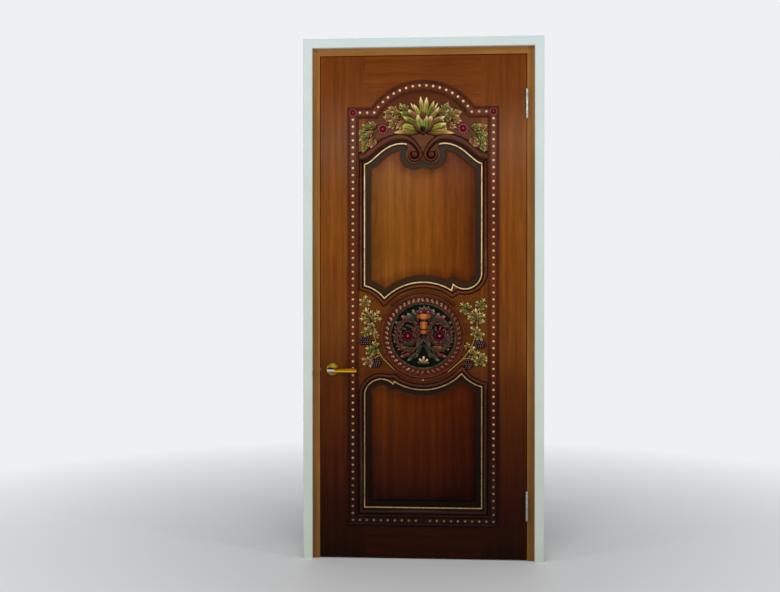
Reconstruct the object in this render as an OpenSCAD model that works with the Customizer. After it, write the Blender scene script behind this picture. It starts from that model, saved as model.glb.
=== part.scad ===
// Carved panelled door leaf hung in a rebated frame with casings on both sides.
// Millimetres. Z is up, the carved face looks toward -Y.
// Origin: finished floor, middle of the doorway, plane of the jamb front faces.

/* [Doorway] */
// Clear width between the rebate faces
opening_w = 862; // [820:1:940]
// Clear height from the floor to the head rebate
opening_h = 2100; // [2020:1:2240]

/* [Frame] */
// Depth of the jambs through the wall
jamb_depth = 100; // [90:1:150]
// Thickness of a jamb behind its rebate face
jamb_t = 45; // [40:1:60]
// How far the stop stands into the doorway
stop_w = 14; // [10:1:18]
// Jamb face left showing beside the casing
reveal = 30; // [22:1:36]
// Width of a casing board
casing_w = 38; // [30:1:60]
// Thickness of a casing board
casing_t = 18; // [12:1:20]
// Radius of the fixing holes through the jambs
fixing_r = 4; // [3:0.5:6]

/* [Leaf] */
// Thickness of stiles and rails
leaf_t = 40; // [36:1:50]
// Gap round the leaf at the sides and the head
gap = 3; // [2.6:0.2:4]
// Gap under the leaf
floor_gap = 5; // [3:1:12]
// Leaf face behind the jamb face
face_setback = 2; // [1:0.5:6]
// Leaf edge to panel opening
stile_w = 187; // [183:1:190]
// Bottom of the lower panel opening above the floor
sill_z = 218; // [216:1:240]
// Depth of panel tongue in its groove
tongue = 10; // [6:1:14]
// Thickness of a panel at its tongue
panel_t = 14; // [10:1:16]
// Width of the sunk margin round a panel field
margin_w = 25; // [18:1:32]
// Height of the panel field above its margin
field_h = 6; // [3:1:8]

/* [Beaded border] */
// Width of the border strip
border_w = 48; // [44:1:52]
// Leaf edge to the outer edge of the border
border_inset = 112; // [108:1:114]
// Bead line of the bottom strip above the floor
border_foot = 162; // [150:1:164]
// Leaf top down to the bead line of the ears
border_drop = 236; // [226:1:250]
// Radius of the bead line of the arch
arch_r = 240; // [232:1:250]
// Crown of the arch above the ears
arch_rise = 111; // [106:1:118]
// Radius of a gilt bead
bead_r = 6.5; // [5:0.1:7]
// Wanted distance from bead to bead
bead_pitch = 28.6; // [24:0.2:36]

/* [Panel mouldings] */
// Width of the gilt fillet
fillet_w = 6; // [5:0.5:9]
// Height of the gilt fillet
fillet_h = 3; // [2:0.5:5]
// Height of the moulding round the panels
moulding_h = 11; // [8:0.5:14]

/* [Medallion] */
// Centre of the medallion above the floor
medallion_z = 931; // [920:1:945]
// Outer radius of its turned ring
ring_r = 175; // [168:1:177]
// Radius of the bead line on the ring
ring_bead_r = 153; // [150:1:155]
// Radius of the sunk dish
dish_r = 137; // [128:1:139]
// Number of beads on the ring
ring_beads = 46; // [36:1:52]
// Radius of the arched panel edges about the medallion
sweep_r = 227; // [224:1:235]

/* [Hinges] */
// Length of a hinge
hinge_len = 119; // [100:1:130]
// Radius of a knuckle
knuckle_r = 6; // [5:0.1:6.4]
// Radius of the hinge pins
pin_r = 3; // [2:0.1:3.6]
// Leaf top down to the middle of the upper hinge
upper_hinge = 205; // [180:1:260]
// Leaf bottom up to the middle of the lower hinge
lower_hinge = 223; // [180:1:260]

/* [Lever and latch] */
// Lever axis above the floor
lever_z = 791; // [740:1:1050]
// Leaf edge to lever axis
backset = 50; // [48:1:56]
// Radius of the rose
rose_r = 25.5; // [23:0.5:28]
// Lever axis to the end of the grip
lever_reach = 107; // [95:1:125]
// Radius of the grip
grip_r = 9.5; // [8:0.1:9.8]
// Middle of the grip in front of the leaf face
lever_stand = 52; // [46:1:60]
// Latch bolt standing out of the leaf edge
latch_out = 11; // [9:0.5:12]

/* [Show] */
// One sub-part by name, or all of them

/* [Hidden] */

$fn = 48;
teak = [0.44, 0.23, 0.09];
dark_teak = [0.30, 0.14, 0.06];
jamb_teak = [0.56, 0.39, 0.20];
paint = [0.82, 0.84, 0.82];
gilt = [0.80, 0.62, 0.35];
leaf_green = [0.55, 0.55, 0.22];
rose_red = [0.50, 0.06, 0.12];
grape_purple = [0.25, 0.10, 0.18];
dish_green = [0.10, 0.12, 0.08];
vase_orange = [0.74, 0.45, 0.18];
brass = [0.78, 0.64, 0.22];
steel = [0.55, 0.56, 0.58];

half_w = opening_w / 2;
leaf_x = half_w - gap;
leaf_top = opening_h - gap;
face_y = face_setback;
back_y = face_y + leaf_t;
rebate_y = back_y + 1;
casing_x = half_w + reveal;
casing_top = opening_h + reveal;

panel_x = leaf_x - stile_w;
panel_y = face_y + (leaf_t - panel_t) / 2;
ear_z = leaf_top - border_drop;
bead_x = leaf_x - border_inset - border_w / 2;
arch_z = ear_z + arch_rise - arch_r;
edge = border_w / 2;
channel_h = 4;
corner_rosette_r = 16;
crest_rosette_r = 20;
scroll_rosette_r = 24;
scroll_x = 66;
shoulder_z = ear_z - 216;
peak = [88, ear_z - 132];
volute = [35, ear_z - 175];
volute_r = 36;
corner_r = 67;
upper_corner = sweep_r + 39;
lower_corner = sweep_r + 23;
side_rise = sweep_r - 15;
moulding_d = 26;
shoulder_d = 31;
wing_d = 17;
side_d = (fillet_w + bead_x - edge - panel_x) / 2;
sill_d = (fillet_w + sill_z - border_foot - edge) / 2;
crest_z = ear_z - 96;

tenon_l = 90;
tenon_t = 12;

hinge_x = leaf_x + gap / 2;
hinge_y = -knuckle_r - 0.3;
hinge_slit = 0.2;
plate_t = 2.5;
plate_w = 32;
hinge_z = [leaf_top - upper_hinge, floor_gap + lower_hinge];
knuckle_h = hinge_len / 5;
screw_r = 2.1;
screw_head_r = 4.4;
screw_len = 28;
screw_z = [-0.36, -0.13, 0.13, 0.36];

hub_x = -leaf_x + backset;
mid_y = face_y + leaf_t / 2;
neck_r = 8.5;
hub_r = 10;
hub_half = 15;
rose_t = 9;
spindle_w = 8;
fit = 0.08;
socket_w = spindle_w + 0.1;
spindle_in = 30;
follower_h = 18;
case_r = 11.5;
bolt_r = 8.4;
follower_r = 7.5;
plate_in = 3;
strike_t = 2;
bolt_off = 19;
latch_screw = 22;
bolt_in = 28;
face_w = 25;
face_l = 57;
strike_w = 28;
strike_l = 60;
lip_l = 22;

function flip(list) = [for (i = [len(list) - 1:-1:0]) list[i]];
function mirror_x(list) = [for (p = list) [-p.x, p.y]];
function half_turn(list) = [for (p = list) [-p.x, 2 * medallion_z - p.y]];
function arc(c, r, a0, a1, n) = [for (i = [0:n]) let (a = a0 + (a1 - a0) * i / n)
  c + r * [cos(a), sin(a)]];
function bezier(p, q, r, s, n) = [for (i = [0:n]) let (t = i / n, u = 1 - t)
  u * u * u * p + 3 * u * u * t * q + 3 * u * t * t * r + t * t * t * s];
function side_of(p, q, d) = let (t = (q - p) / norm(q - p)) d * [t.y, -t.x];
function beside(path, d) = [for (i = [0:len(path) - 1])
  path[i] + side_of(path[max(i - 1, 0)], path[min(i + 1, len(path) - 1)], d)];
function widened(path, r0, r1) = [for (i = [0:len(path) - 1])
  [path[i].x, path[i].y, r0 + (r1 - r0) * i / (len(path) - 1)]];

// Panel edge next to the medallion, left to right, for the upper panel.
cusp = sweep_r * [cos(135), sin(135)];
notch = sweep_r * [cos(59), sin(59)];
edge_fall = bezier([-panel_x, side_rise], [-panel_x + 25, side_rise - 6], cusp + [-24, 30], cusp, 4);
function medallion_edge(corner) = concat(
  edge_fall,
  arc([0, 0], sweep_r, 130, 59, 11),
  arc([panel_x - corner_r, corner], corner_r, 222, 352, 9));
function lifted(list) = [for (p = list) [p.x, p.y + medallion_z]];
// Right half of the scrolled top edge, from the shoulder to the middle.
top_edge = concat(
  bezier([panel_x, shoulder_z], [panel_x - 36, shoulder_z + 5], [165, peak.y], peak, 9),
  bezier(peak, [peak.x - 16, peak.y], [peak.x - 25, peak.y - 4], [peak.x - 28, peak.y - 14], 3),
  arc(volute, volute_r, 36, -138, 12),
  [[0, volute.y - 18]]);
upper_outline = concat(lifted(medallion_edge(upper_corner)), top_edge, mirror_x(flip(top_edge)));
lower_outline = concat([[-panel_x, sill_z], [panel_x, sill_z]],
  half_turn(lifted(medallion_edge(lower_corner))));

// Places a flat drawing on a plane of the leaf: X across, Y up, height toward the viewer.
module on_face(y) {
  translate([0, y, 0]) rotate([90, 0, 0]) children();
}
module on_back(y) {
  translate([0, y, 0]) rotate([-90, 0, 0]) children();
}
module slab(y0, y1) {
  on_face(y1) linear_extrude(y1 - y0) children();
}
module upper_2d() {
  polygon(upper_outline);
}
module lower_2d() {
  polygon(lower_outline);
}
module tongue_2d(extra) {
  offset(delta = tongue + extra) children();
}
module grooves() {
  slab(panel_y - 0.1, panel_y + panel_t + 0.1) tongue_2d(0.2) upper_2d();
  slab(panel_y - 0.1, panel_y + panel_t + 0.1) tongue_2d(0.2) lower_2d();
}
module openings() {
  slab(face_y - 1, back_y + 1) upper_2d();
  slab(face_y - 1, back_y + 1) lower_2d();
}

// Frame members
module jamb_profile() {
  union() {
    translate([half_w, 0]) square([jamb_t, jamb_depth]);
    translate([half_w - stop_w, rebate_y]) square([stop_w, jamb_depth - rebate_y]);
  }
}
module fixing_holes() {
  for (z = [250, 750, 1350, 1850])
    translate([half_w - stop_w - 1, (rebate_y + jamb_depth) / 2, z * opening_h / 2100])
      rotate([0, 90, 0]) cylinder(h = stop_w + jamb_t + 2, r = fixing_r);
}
module jamb_blank() {
  difference() {
    linear_extrude(opening_h + jamb_t) jamb_profile();
    fixing_holes();
  }
}
module hinge_jamb() {
  color(jamb_teak) difference() {
    jamb_blank();
    for (z = hinge_z) translate([hinge_x, hinge_y, z]) plate_room(1);
  }
}
module lock_jamb() {
  color(jamb_teak) difference() {
    mirror([1, 0, 0]) jamb_blank();
    translate([-half_w - strike_t, mid_y, lever_z]) strike_room();
    translate([-half_w - 14, mid_y - 9.5, lever_z - 11]) cube([15, 19, 22]);
    for (s = [-1, 1]) translate([-half_w - 18, mid_y, lever_z + s * latch_screw])
      rotate([0, 90, 0]) cylinder(h = 18, r = screw_r + 0.05);
  }
}
module head_jamb() {
  color(jamb_teak) union() {
    translate([-half_w, 0, opening_h]) cube([opening_w, rebate_y, jamb_t]);
    translate([-half_w + stop_w, rebate_y, opening_h - stop_w])
      cube([opening_w - 2 * stop_w, jamb_depth - rebate_y, jamb_t + stop_w]);
  }
}

// Casing boards with rounded front edges, mitred at the head
module casing_profile() {
  union() {
    square([casing_w, casing_t - 3]);
    translate([3, 0]) square([casing_w - 6, casing_t]);
    translate([3, casing_t - 3]) circle(r = 3);
    translate([casing_w - 3, casing_t - 3]) circle(r = 3);
  }
}
module casing_upright() {
  intersection() {
    translate([casing_x, casing_top + casing_w, 0]) rotate([90, 0, 0])
      linear_extrude(casing_top + casing_w) casing_profile();
    linear_extrude(casing_t + 5) polygon([[casing_x - 5, -5], [casing_x + casing_w + 5, -5],
      [casing_x + casing_w + 5, casing_top + casing_w + 5], [casing_x - 5, casing_top - 5]]);
  }
}
module casing_cross() {
  intersection() {
    translate([-casing_x - casing_w, casing_top, 0]) rotate([90, 0, 90])
      linear_extrude(2 * casing_x + 2 * casing_w) casing_profile();
    linear_extrude(casing_t + 5) polygon([[-casing_x, casing_top], [casing_x, casing_top],
      [casing_x + casing_w, casing_top + casing_w], [-casing_x - casing_w, casing_top + casing_w]]);
  }
}
module casing_right() {
  color(paint) on_face(0) casing_upright();
}
module casing_left() {
  color(paint) on_face(0) mirror([1, 0, 0]) casing_upright();
}
module casing_head() {
  color(paint) on_face(0) casing_cross();
}
module back_casing_right() {
  color(paint) on_back(jamb_depth) mirror([0, 1, 0]) casing_upright();
}
module back_casing_left() {
  color(paint) on_back(jamb_depth) mirror([0, 1, 0]) mirror([1, 0, 0]) casing_upright();
}
module back_casing_head() {
  color(paint) on_back(jamb_depth) mirror([0, 1, 0]) casing_cross();
}

// Butt hinges: three knuckles on the jamb leaf, two on the door leaf
module knuckle_row(first, count, r, extra) {
  for (k = [0:count - 1])
    translate([0, 0, -hinge_len / 2 + (first + 2 * k) * knuckle_h + 0.2 - extra])
      cylinder(h = knuckle_h - 0.4 + 2 * extra, r = r);
}
module screw_spots(side) {
  for (i = [0:3])
    translate([side * (hinge_slit + plate_t), i % 2 == 0 ? 24 : 15, screw_z[i] * hinge_len])
      rotate([0, side * 90, 0]) children();
}
module hinge_half(side, first, count) {
  difference() {
    union() {
      translate([side > 0 ? hinge_slit : -hinge_slit - plate_t, 0, -hinge_len / 2])
        cube([plate_t, plate_w, hinge_len]);
      knuckle_row(first, count, knuckle_r, 0);
    }
    translate([0, 0, -hinge_len]) cylinder(h = 2 * hinge_len, r = pin_r + fit);
    knuckle_row(1 - first, 5 - count, knuckle_r + 0.4, 0.4);
    screw_spots(side) translate([0, 0, -plate_t - 0.01])
      cylinder(h = plate_t + 0.02, r1 = screw_head_r + 0.06, r2 = screw_r + 0.06);
  }
}
module plate_room(side) {
  translate([side > 0 ? -gap : -hinge_slit - plate_t, 0, -hinge_len / 2 - 0.3])
    cube([gap + hinge_slit + plate_t, plate_w + 0.3, hinge_len + 0.6]);
  screw_spots(side) translate([0, 0, -1]) cylinder(h = screw_len + 1.5, r = screw_r + 0.05);
}
module screw(length) {
  translate([0, 0, -plate_t]) cylinder(h = plate_t, r1 = screw_head_r, r2 = screw_r);
  cylinder(h = length, r = screw_r);
}
module at_hinges() {
  for (z = hinge_z) translate([hinge_x, hinge_y, z]) children();
}
module hinge_leaves_jamb() {
  color(steel) at_hinges() hinge_half(1, 0, 3);
}
module hinge_leaves_door() {
  color(steel) at_hinges() hinge_half(-1, 1, 2);
}
module hinge_pins() {
  color(steel) at_hinges() {
    translate([0, 0, -hinge_len / 2]) cylinder(h = hinge_len, r = pin_r);
    for (s = [0, 1]) mirror([0, 0, s]) translate([0, 0, hinge_len / 2 - 0.2])
      cylinder(h = 3, r1 = knuckle_r - 1, r2 = knuckle_r - 2.5);
  }
}
module hinge_screws_jamb() {
  color(steel) at_hinges() screw_spots(1) screw(screw_len);
}
module hinge_screws_door() {
  color(steel) at_hinges() screw_spots(-1) screw(screw_len);
}

// Stiles and rails, tenoned together and grooved for the panels
module tenon(z0, z1, extra) {
  for (s = [-1, 1])
    translate([s * (panel_x + tenon_l / 2) - tenon_l / 2 - extra, mid_y - tenon_t / 2 - extra, z0 - extra])
      cube([tenon_l + 2 * extra, tenon_t + 2 * extra, z1 - z0 + 2 * extra]);
}
module tenons(extra) {
  tenon(shoulder_z + 90, leaf_top - 60, extra);
  tenon(medallion_z - 110, medallion_z + 110, extra);
  tenon(floor_gap + 50, sill_z - 45, extra);
}
module stile_blank(x) {
  difference() {
    translate([x, face_y, floor_gap]) cube([stile_w, leaf_t, leaf_top - floor_gap]);
    grooves();
    tenons(0.15);
  }
}
module hinge_stile() {
  color(teak) difference() {
    stile_blank(panel_x);
    at_hinges() plate_room(-1);
  }
}
module lock_stile() {
  color(teak) difference() {
    stile_blank(-leaf_x);
    translate([-leaf_x - 1, mid_y, lever_z]) rotate([0, 90, 0]) cylinder(h = 77, r = case_r + 0.2);
    translate([hub_x, face_y - 1, lever_z]) rotate([-90, 0, 0]) cylinder(h = leaf_t + 2, r = neck_r + 1.5);
    translate([-leaf_x, mid_y, lever_z]) faceplate_blank(0.2, plate_in);
    for (s = [-1, 1]) {
      translate([-leaf_x, mid_y, lever_z + s * latch_screw]) rotate([0, 90, 0])
        cylinder(h = 23, r = screw_r + 0.05);
      translate([hub_x, face_y - 1, lever_z + s * bolt_off]) rotate([-90, 0, 0])
        cylinder(h = leaf_t + 2, r = 2.6);
    }
  }
}
module rail(z0, z1) {
  translate([-panel_x, face_y, z0]) cube([2 * panel_x, leaf_t, z1 - z0]);
}
module top_rail() {
  color(teak) union() {
    difference() {
      rail(shoulder_z, leaf_top);
      openings();
      grooves();
    }
    tenon(shoulder_z + 90, leaf_top - 60, 0);
  }
}
module lock_rail() {
  color(teak) union() {
    difference() {
      rail(medallion_z - side_rise - 2, medallion_z + side_rise + 2);
      openings();
      grooves();
      on_face(face_y + 10) translate([0, medallion_z, 0]) cylinder(h = 12, r = dish_r + 0.2);
    }
    tenon(medallion_z - 110, medallion_z + 110, 0);
  }
}
module bottom_rail() {
  color(teak) union() {
    difference() {
      rail(floor_gap, sill_z);
      grooves();
    }
    tenon(floor_gap + 50, sill_z - 45, 0);
  }
}
module panel_body() {
  slab(panel_y, panel_y + panel_t) tongue_2d(0) children();
  slab(panel_y - field_h, panel_y) offset(delta = -margin_w) children();
}
module upper_panel() {
  color(teak) panel_body() upper_2d();
}
module lower_panel() {
  color(teak) panel_body() lower_2d();
}

// Beaded border: two rounded ridges with a channel between them
module border_profile() {
  difference() {
    union() {
      translate([-edge, 0]) square([border_w, channel_h]);
      for (s = [-1, 1]) translate([s * (edge - 6.5), 3.5]) circle(r = 5.5);
    }
    translate([-edge - 1, -10]) square([border_w + 2, 10]);
  }
}
module rosette_seat() {
  translate([bead_x, ear_z, channel_h]) cylinder(h = 20, r = corner_rosette_r + 0.2);
}
module border_side() {
  difference() {
    intersection() {
      translate([bead_x, ear_z + edge, 0]) rotate([90, 0, 0])
        linear_extrude(ear_z - border_foot + border_w) border_profile();
      linear_extrude(30) polygon([[bead_x - edge, border_foot + edge], [bead_x + edge, border_foot - edge],
        [bead_x + edge, ear_z + edge], [bead_x - edge, ear_z - edge]]);
    }
    rosette_seat();
  }
}
module border_right() {
  color(dark_teak) on_face(face_y) border_side();
}
module border_left() {
  color(dark_teak) on_face(face_y) mirror([1, 0, 0]) border_side();
}
module border_bottom() {
  color(dark_teak) on_face(face_y) intersection() {
    translate([-bead_x - edge, border_foot, 0]) rotate([90, 0, 90])
      linear_extrude(2 * bead_x + border_w) border_profile();
    linear_extrude(30) polygon([[-bead_x - edge, border_foot - edge], [bead_x + edge, border_foot - edge],
      [bead_x - edge, border_foot + edge], [-bead_x + edge, border_foot + edge]]);
  }
}
arch_reach = [for (d = [-edge, 0, edge]) sqrt(pow(arch_r + d, 2) - pow(ear_z + d - arch_z, 2))];
module border_ear() {
  difference() {
    intersection() {
      translate([0, ear_z, 0]) rotate([90, 0, 90]) linear_extrude(bead_x + edge) border_profile();
      linear_extrude(30) polygon([[bead_x + edge, ear_z + edge], [arch_reach[2], ear_z + edge],
        [arch_reach[0], ear_z - edge], [bead_x - edge, ear_z - edge]]);
    }
    rosette_seat();
  }
}
module border_bow() {
  intersection() {
    translate([0, arch_z, 0]) rotate_extrude(angle = 180) translate([arch_r, 0]) border_profile();
    linear_extrude(30) polygon([[-arch_reach[0], ear_z - edge], [arch_reach[0], ear_z - edge],
      [arch_reach[2], ear_z + edge], [arch_reach[2], leaf_top], [-arch_reach[2], leaf_top],
      [-arch_reach[2], ear_z + edge]]);
  }
}
module border_arch() {
  color(dark_teak) on_face(face_y) {
    border_bow();
    border_ear();
    mirror([1, 0, 0]) border_ear();
  }
}
module bead(r, floor_h) {
  difference() {
    translate([0, 0, floor_h + 1]) sphere(r = r);
    translate([-r - 1, -r - 1, floor_h - 2 * r]) cube([2 * r + 2, 2 * r + 2, 2 * r]);
  }
}
side_beads = round((ear_z - border_foot) / bead_pitch);
foot_beads = 2 * round(bead_x / bead_pitch);
ear_beads = round((bead_x - arch_reach[1]) / bead_pitch);
bow_angle = asin((ear_z - arch_z) / arch_r);
bow_beads = round((180 - 2 * bow_angle) / 180 * PI * arch_r / bead_pitch);
bead_spots = concat(
  [for (s = [-1, 1], i = [0:side_beads - 1])
    [s * bead_x, border_foot + i * (ear_z - border_foot) / side_beads]],
  [for (i = [1:foot_beads - 1]) if (i != foot_beads / 2)
    [-bead_x + 2 * bead_x * i / foot_beads, border_foot]],
  [for (s = [-1, 1], i = [1:ear_beads - 1]) [s * (bead_x + (arch_reach[1] - bead_x) * i / ear_beads), ear_z]],
  [for (i = [0:bow_beads]) [0, arch_z] + arch_r * [cos(bow_angle + (180 - 2 * bow_angle) * i / bow_beads),
    sin(bow_angle + (180 - 2 * bow_angle) * i / bow_beads)]]);
module border_beads() {
  color(gilt) on_face(face_y) for (p = bead_spots) translate([p.x, p.y, 0]) bead(bead_r, channel_h);
}

// Panel moulding: a small bead, a quirk and a broad roll, swept along a path.
// Each path point carries its half width; the bead runs on the left of the path.
moulding_section = [[-1, 0], [-0.95, 0.45], [-0.7, 0.62], [-0.45, 0.5], [-0.1, 0.95], [0.35, 1],
  [0.8, 0.72], [1, 0]];
function unit(v) = v / norm(v);
function flat(p) = [p.x, p.y];
function across(path, i, closed) = let (
    n = len(path),
    before = closed || i > 0 ? unit(flat(path[i]) - flat(path[(i + n - 1) % n])) : [],
    after = closed || i < n - 1 ? unit(flat(path[(i + 1) % n]) - flat(path[i])) : before,
    into = before == [] ? after : before,
    out = after,
    way = unit(into + out))
  [way.y, -way.x] / max(0.6, way * out);
module sweep(path, closed) {
  n = len(path);
  k = len(moulding_section);
  points = [for (i = [0:n - 1]) let (side = across(path, i, closed)) for (q = moulding_section)
    let (c = flat(path[i]) + path[i].z * q[0] * side) [c.x, c.y, q[1] * moulding_h]];
  walls = [for (i = [0:n - (closed ? 1 : 2)], j = [0:k - 1]) let (
      a = i * k + j, b = i * k + (j + 1) % k, c = (i + 1) % n * k + j, d = (i + 1) % n * k + (j + 1) % k)
    each [[a, d, b], [a, c, d]]];
  ends = closed ? [] : [[for (j = [0:k - 1]) j], [for (j = [k - 1:-1:0]) (n - 1) * k + j]];
  polyhedron(points = points, faces = concat(walls, ends));
}

// Scrolls of the medallion drawn as a run of domes: points carry their half width
module dome(p, h) {
  translate([p.x, p.y, 0]) {
    cylinder(h = 0.6 * h, r1 = p.z, r2 = 0.8 * p.z, $fn = 8);
    translate([0, 0, 0.6 * h]) cylinder(h = 0.4 * h, r1 = 0.8 * p.z, r2 = 0.3 * p.z, $fn = 8);
  }
}
module run(points, h) {
  for (i = [0:len(points) - 2]) hull() {
    dome(points[i], h);
    dome(points[i + 1], h);
  }
}
inner_w = 6;
inner_h = 7;
inner_r = ring_r + 1 + inner_w;
boss_r = 10;
side_r = side_d - fillet_w - 0.2;
wing_r = wing_d - fillet_w - 0.7;
function with_r(list, r) = [for (p = list) [p.x, p.y, r]];
function wing() = concat(
  [[-panel_x - side_d, side_rise + 20, side_r], [-panel_x - side_d, side_rise - wing_d + 4, side_r]],
  with_r([for (i = [1:3]) beside(edge_fall, wing_d)[i]], wing_r),
  [[cusp.x - 2, cusp.y - wing_d - 8, wing_r]],
  with_r(arc([0, 0], sweep_r - wing_d, 128, 62, 9), wing_r),
  [[notch.x + 5, notch.y - wing_d - 8, wing_r]]);
function round_corner(corner) = with_r(
  arc([panel_x - corner_r, corner], corner_r + wing_d, 252, 356, 10), wing_r);
function lifted3(list) = [for (p = list) [p.x, p.y + medallion_z, p.z]];
function half_turn3(list) = [for (p = list) [-p.x, 2 * medallion_z - p.y, p.z]];
function mirror3(list) = [for (p = list) [-p.x, p.y, p.z]];
crown_line = bezier([panel_x, shoulder_z], [panel_x - 36, shoulder_z + 5], [165, peak.y], peak, 6);
crown_d = [for (i = [0:6]) shoulder_d + (moulding_d - shoulder_d) * i / 6];
crown = [for (i = [0:6]) let (c = beside(crown_line, crown_d[i])[i]) [c.x, c.y, crown_d[i] - fillet_w - 1.2]];
scroll = concat(
  [[bead_x - edge - 0.2, crown[0].y, crown[0].z]],
  crown,
  widened([for (i = [1:4]) bezier([peak.x, peak.y + moulding_d], [peak.x - 38, peak.y + moulding_d],
    volute + [-5, 43], volute + 25.5 * [cos(150), sin(150)], 4)[i]], 15, 9.5),
  [for (i = [1:14]) let (t = i / 14, a = 150 + 290 * t, c = volute + (25.5 - 8 * t) * [cos(a), sin(a)])
    [c.x, c.y, 9.5 - 3 * t]]);
side_top = crown[0].y - crown[0].z - 0.2;
upper_path = concat([[-panel_x - side_d, side_top, side_r]], lifted3(wing()), lifted3(round_corner(upper_corner)),
  [[panel_x + side_d, side_top, side_r]]);
lower_path = concat(
  [[-panel_x - side_d, sill_z - sill_d, side_r], [panel_x + side_d, sill_z - sill_d, side_r]],
  half_turn3(lifted3(concat(wing(), round_corner(lower_corner)))));
module inner_ridge() {
  translate([0, medallion_z, 0]) rotate([0, 0, 46]) rotate_extrude(angle = 88) translate([inner_r, 0])
    intersection() {
      translate([0, inner_h - inner_w]) circle(r = inner_w);
      translate([-inner_w, 0]) square([2 * inner_w, inner_h]);
    }
}
module upper_moulding() {
  color(dark_teak) on_face(face_y) {
    sweep(upper_path, false);
    sweep(scroll, false);
    sweep(flip(mirror3(scroll)), false);
    inner_ridge();
    for (s = [-1, 1]) translate([s * volute.x, volute.y, 0]) bead(boss_r, 0);
  }
}
module lower_moulding() {
  color(dark_teak) on_face(face_y) {
    sweep(lower_path, true);
    translate([0, medallion_z, 0]) rotate([0, 0, 180]) translate([0, -medallion_z, 0]) inner_ridge();
  }
}
module fillet_band() {
  difference() {
    offset(delta = fillet_w) children();
    children();
  }
}
module upper_fillet() {
  color(gilt) on_face(face_y) linear_extrude(fillet_h) difference() {
    fillet_band() upper_2d();
    translate([-peak.x + 22, shoulder_z]) square([2 * peak.x - 44, 200]);
    translate([-peak.x + 14, shoulder_z]) square([2 * peak.x - 28, peak.y - 12 - shoulder_z]);
  }
}
module lower_fillet() {
  color(gilt) on_face(face_y) linear_extrude(fillet_h) fillet_band() lower_2d();
}

// Carved leaves: each lobe is a low ridge with a pointed tip
module lobe(l, w, h) {
  hull() polyhedron(points = [[0, -0.16 * w, 0], [0.5 * l, -0.5 * w, 0], [l, 0, 0], [0.5 * l, 0.5 * w, 0],
    [0, 0.16 * w, 0], [0.06 * l, 0, 0.55 * h], [0.6 * l, 0, h]], faces = [for (i = [1:5]) [0, i, i + 1]]);
}
module vine_leaf(p, turn, size) {
  translate([p.x, p.y, 0]) rotate([0, 0, turn]) {
    lobe(size, 0.42 * size, 0.24 * size);
    for (s = [-1, 1]) {
      rotate([0, 0, s * 50]) lobe(0.8 * size, 0.4 * size, 0.22 * size);
      rotate([0, 0, s * 104]) lobe(0.56 * size, 0.36 * size, 0.2 * size);
    }
  }
}
module lobes(list) {
  for (q = list) translate([q[0], q[1], 0]) rotate([0, 0, q[2]]) lobe(q[3], q[4], q[5]);
}
module vine_leaves(list) {
  for (q = list) vine_leaf([q[0], q[1]], q[2], q[3]);
}
module stem(points, r) {
  for (i = [0:len(points) - 2]) hull() for (p = [points[i], points[i + 1]])
    translate([p.x, p.y, 0]) cylinder(h = 1.7 * r, r1 = r, r2 = 0.5 * r, $fn = 6);
}
// Turned rosette: a rounded rim, a sunk dish and a button in the middle
module rosette(p, r) {
  rim = 0.18 * r;
  translate([p.x, p.y, 0]) rotate_extrude() union() {
    square([r - rim, rim]);
    translate([r - rim, rim]) circle(r = rim);
    intersection() {
      translate([0, rim]) circle(r = 0.4 * r);
      square([r, r]);
    }
  }
}
module crest_field() {
  linear_extrude(60) difference() {
    union() {
      translate([0, arch_z]) circle(r = arch_r - edge - 0.5, $fn = 72);
      translate([-bead_x + edge + 0.5, shoulder_z])
        square([2 * (bead_x - edge - 0.5), ear_z - edge - 0.5 - shoulder_z]);
    }
    translate([0, -20]) square([2 * bead_x, 2 * shoulder_z + 20], center = true);
    offset(delta = 2 * shoulder_d - fillet_w) upper_2d();
    for (p = crest_rosette_spots) translate(p) circle(r = crest_rosette_r + 1, $fn = 32);
  }
}
module lock_field() {
  linear_extrude(60) difference() {
    translate([-bead_x + edge + 0.5, medallion_z - side_rise - 20])
      square([2 * (bead_x - edge - 0.5), 2 * side_rise + 40]);
    translate([0, medallion_z]) circle(r = ring_r + 0.6, $fn = 96);
    offset(delta = wing_d + wing_r + 1) upper_2d();
    offset(delta = wing_d + wing_r + 1) lower_2d();
    for (b = bunches) translate([b[0], b[1]])
      square([b[2] * grape_pitch + 3, b[3] * 0.87 * grape_pitch + 5], center = true);
  }
}
palmette_lobes = [[-4, 12, 94, 148, 30, 15], [6, 12, 85, 146, 30, 15], [-12, 10, 108, 112, 28, 13],
  [14, 10, 72, 112, 28, 13], [-20, 8, 122, 104, 26, 12], [22, 8, 58, 104, 26, 12],
  [-26, 6, 142, 88, 24, 11], [28, 6, 38, 88, 24, 11], [-22, 14, 168, 70, 22, 10], [24, 14, 12, 70, 22, 10],
  [-34, 12, 176, 92, 16, 8], [36, 12, 4, 92, 16, 8], [-6, 10, 128, 74, 36, 18], [8, 10, 52, 74, 36, 18],
  [0, 6, 90, 66, 30, 21]];
module crest_palmette() {
  color(leaf_green) on_face(face_y) intersection() {
    translate([0, crest_z, 0]) lobes(palmette_lobes);
    crest_field();
  }
}
crest_rosette_spots = [[-167, ear_z - 69], [166, ear_z - 69]];
spray_leaves = [[-92, ear_z - 36, 150, 46], [-112, ear_z - 8, 120, 42], [-128, ear_z - 40, 178, 38],
  [-80, ear_z - 8, 96, 36]];
corner_leaves = [[-226, ear_z - 92, 118, 46], [-240, ear_z - 74, 160, 38], [-216, ear_z - 60, 74, 36],
  [-242, ear_z - 120, 214, 44], [-218, ear_z - 118, 282, 44]];
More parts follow.
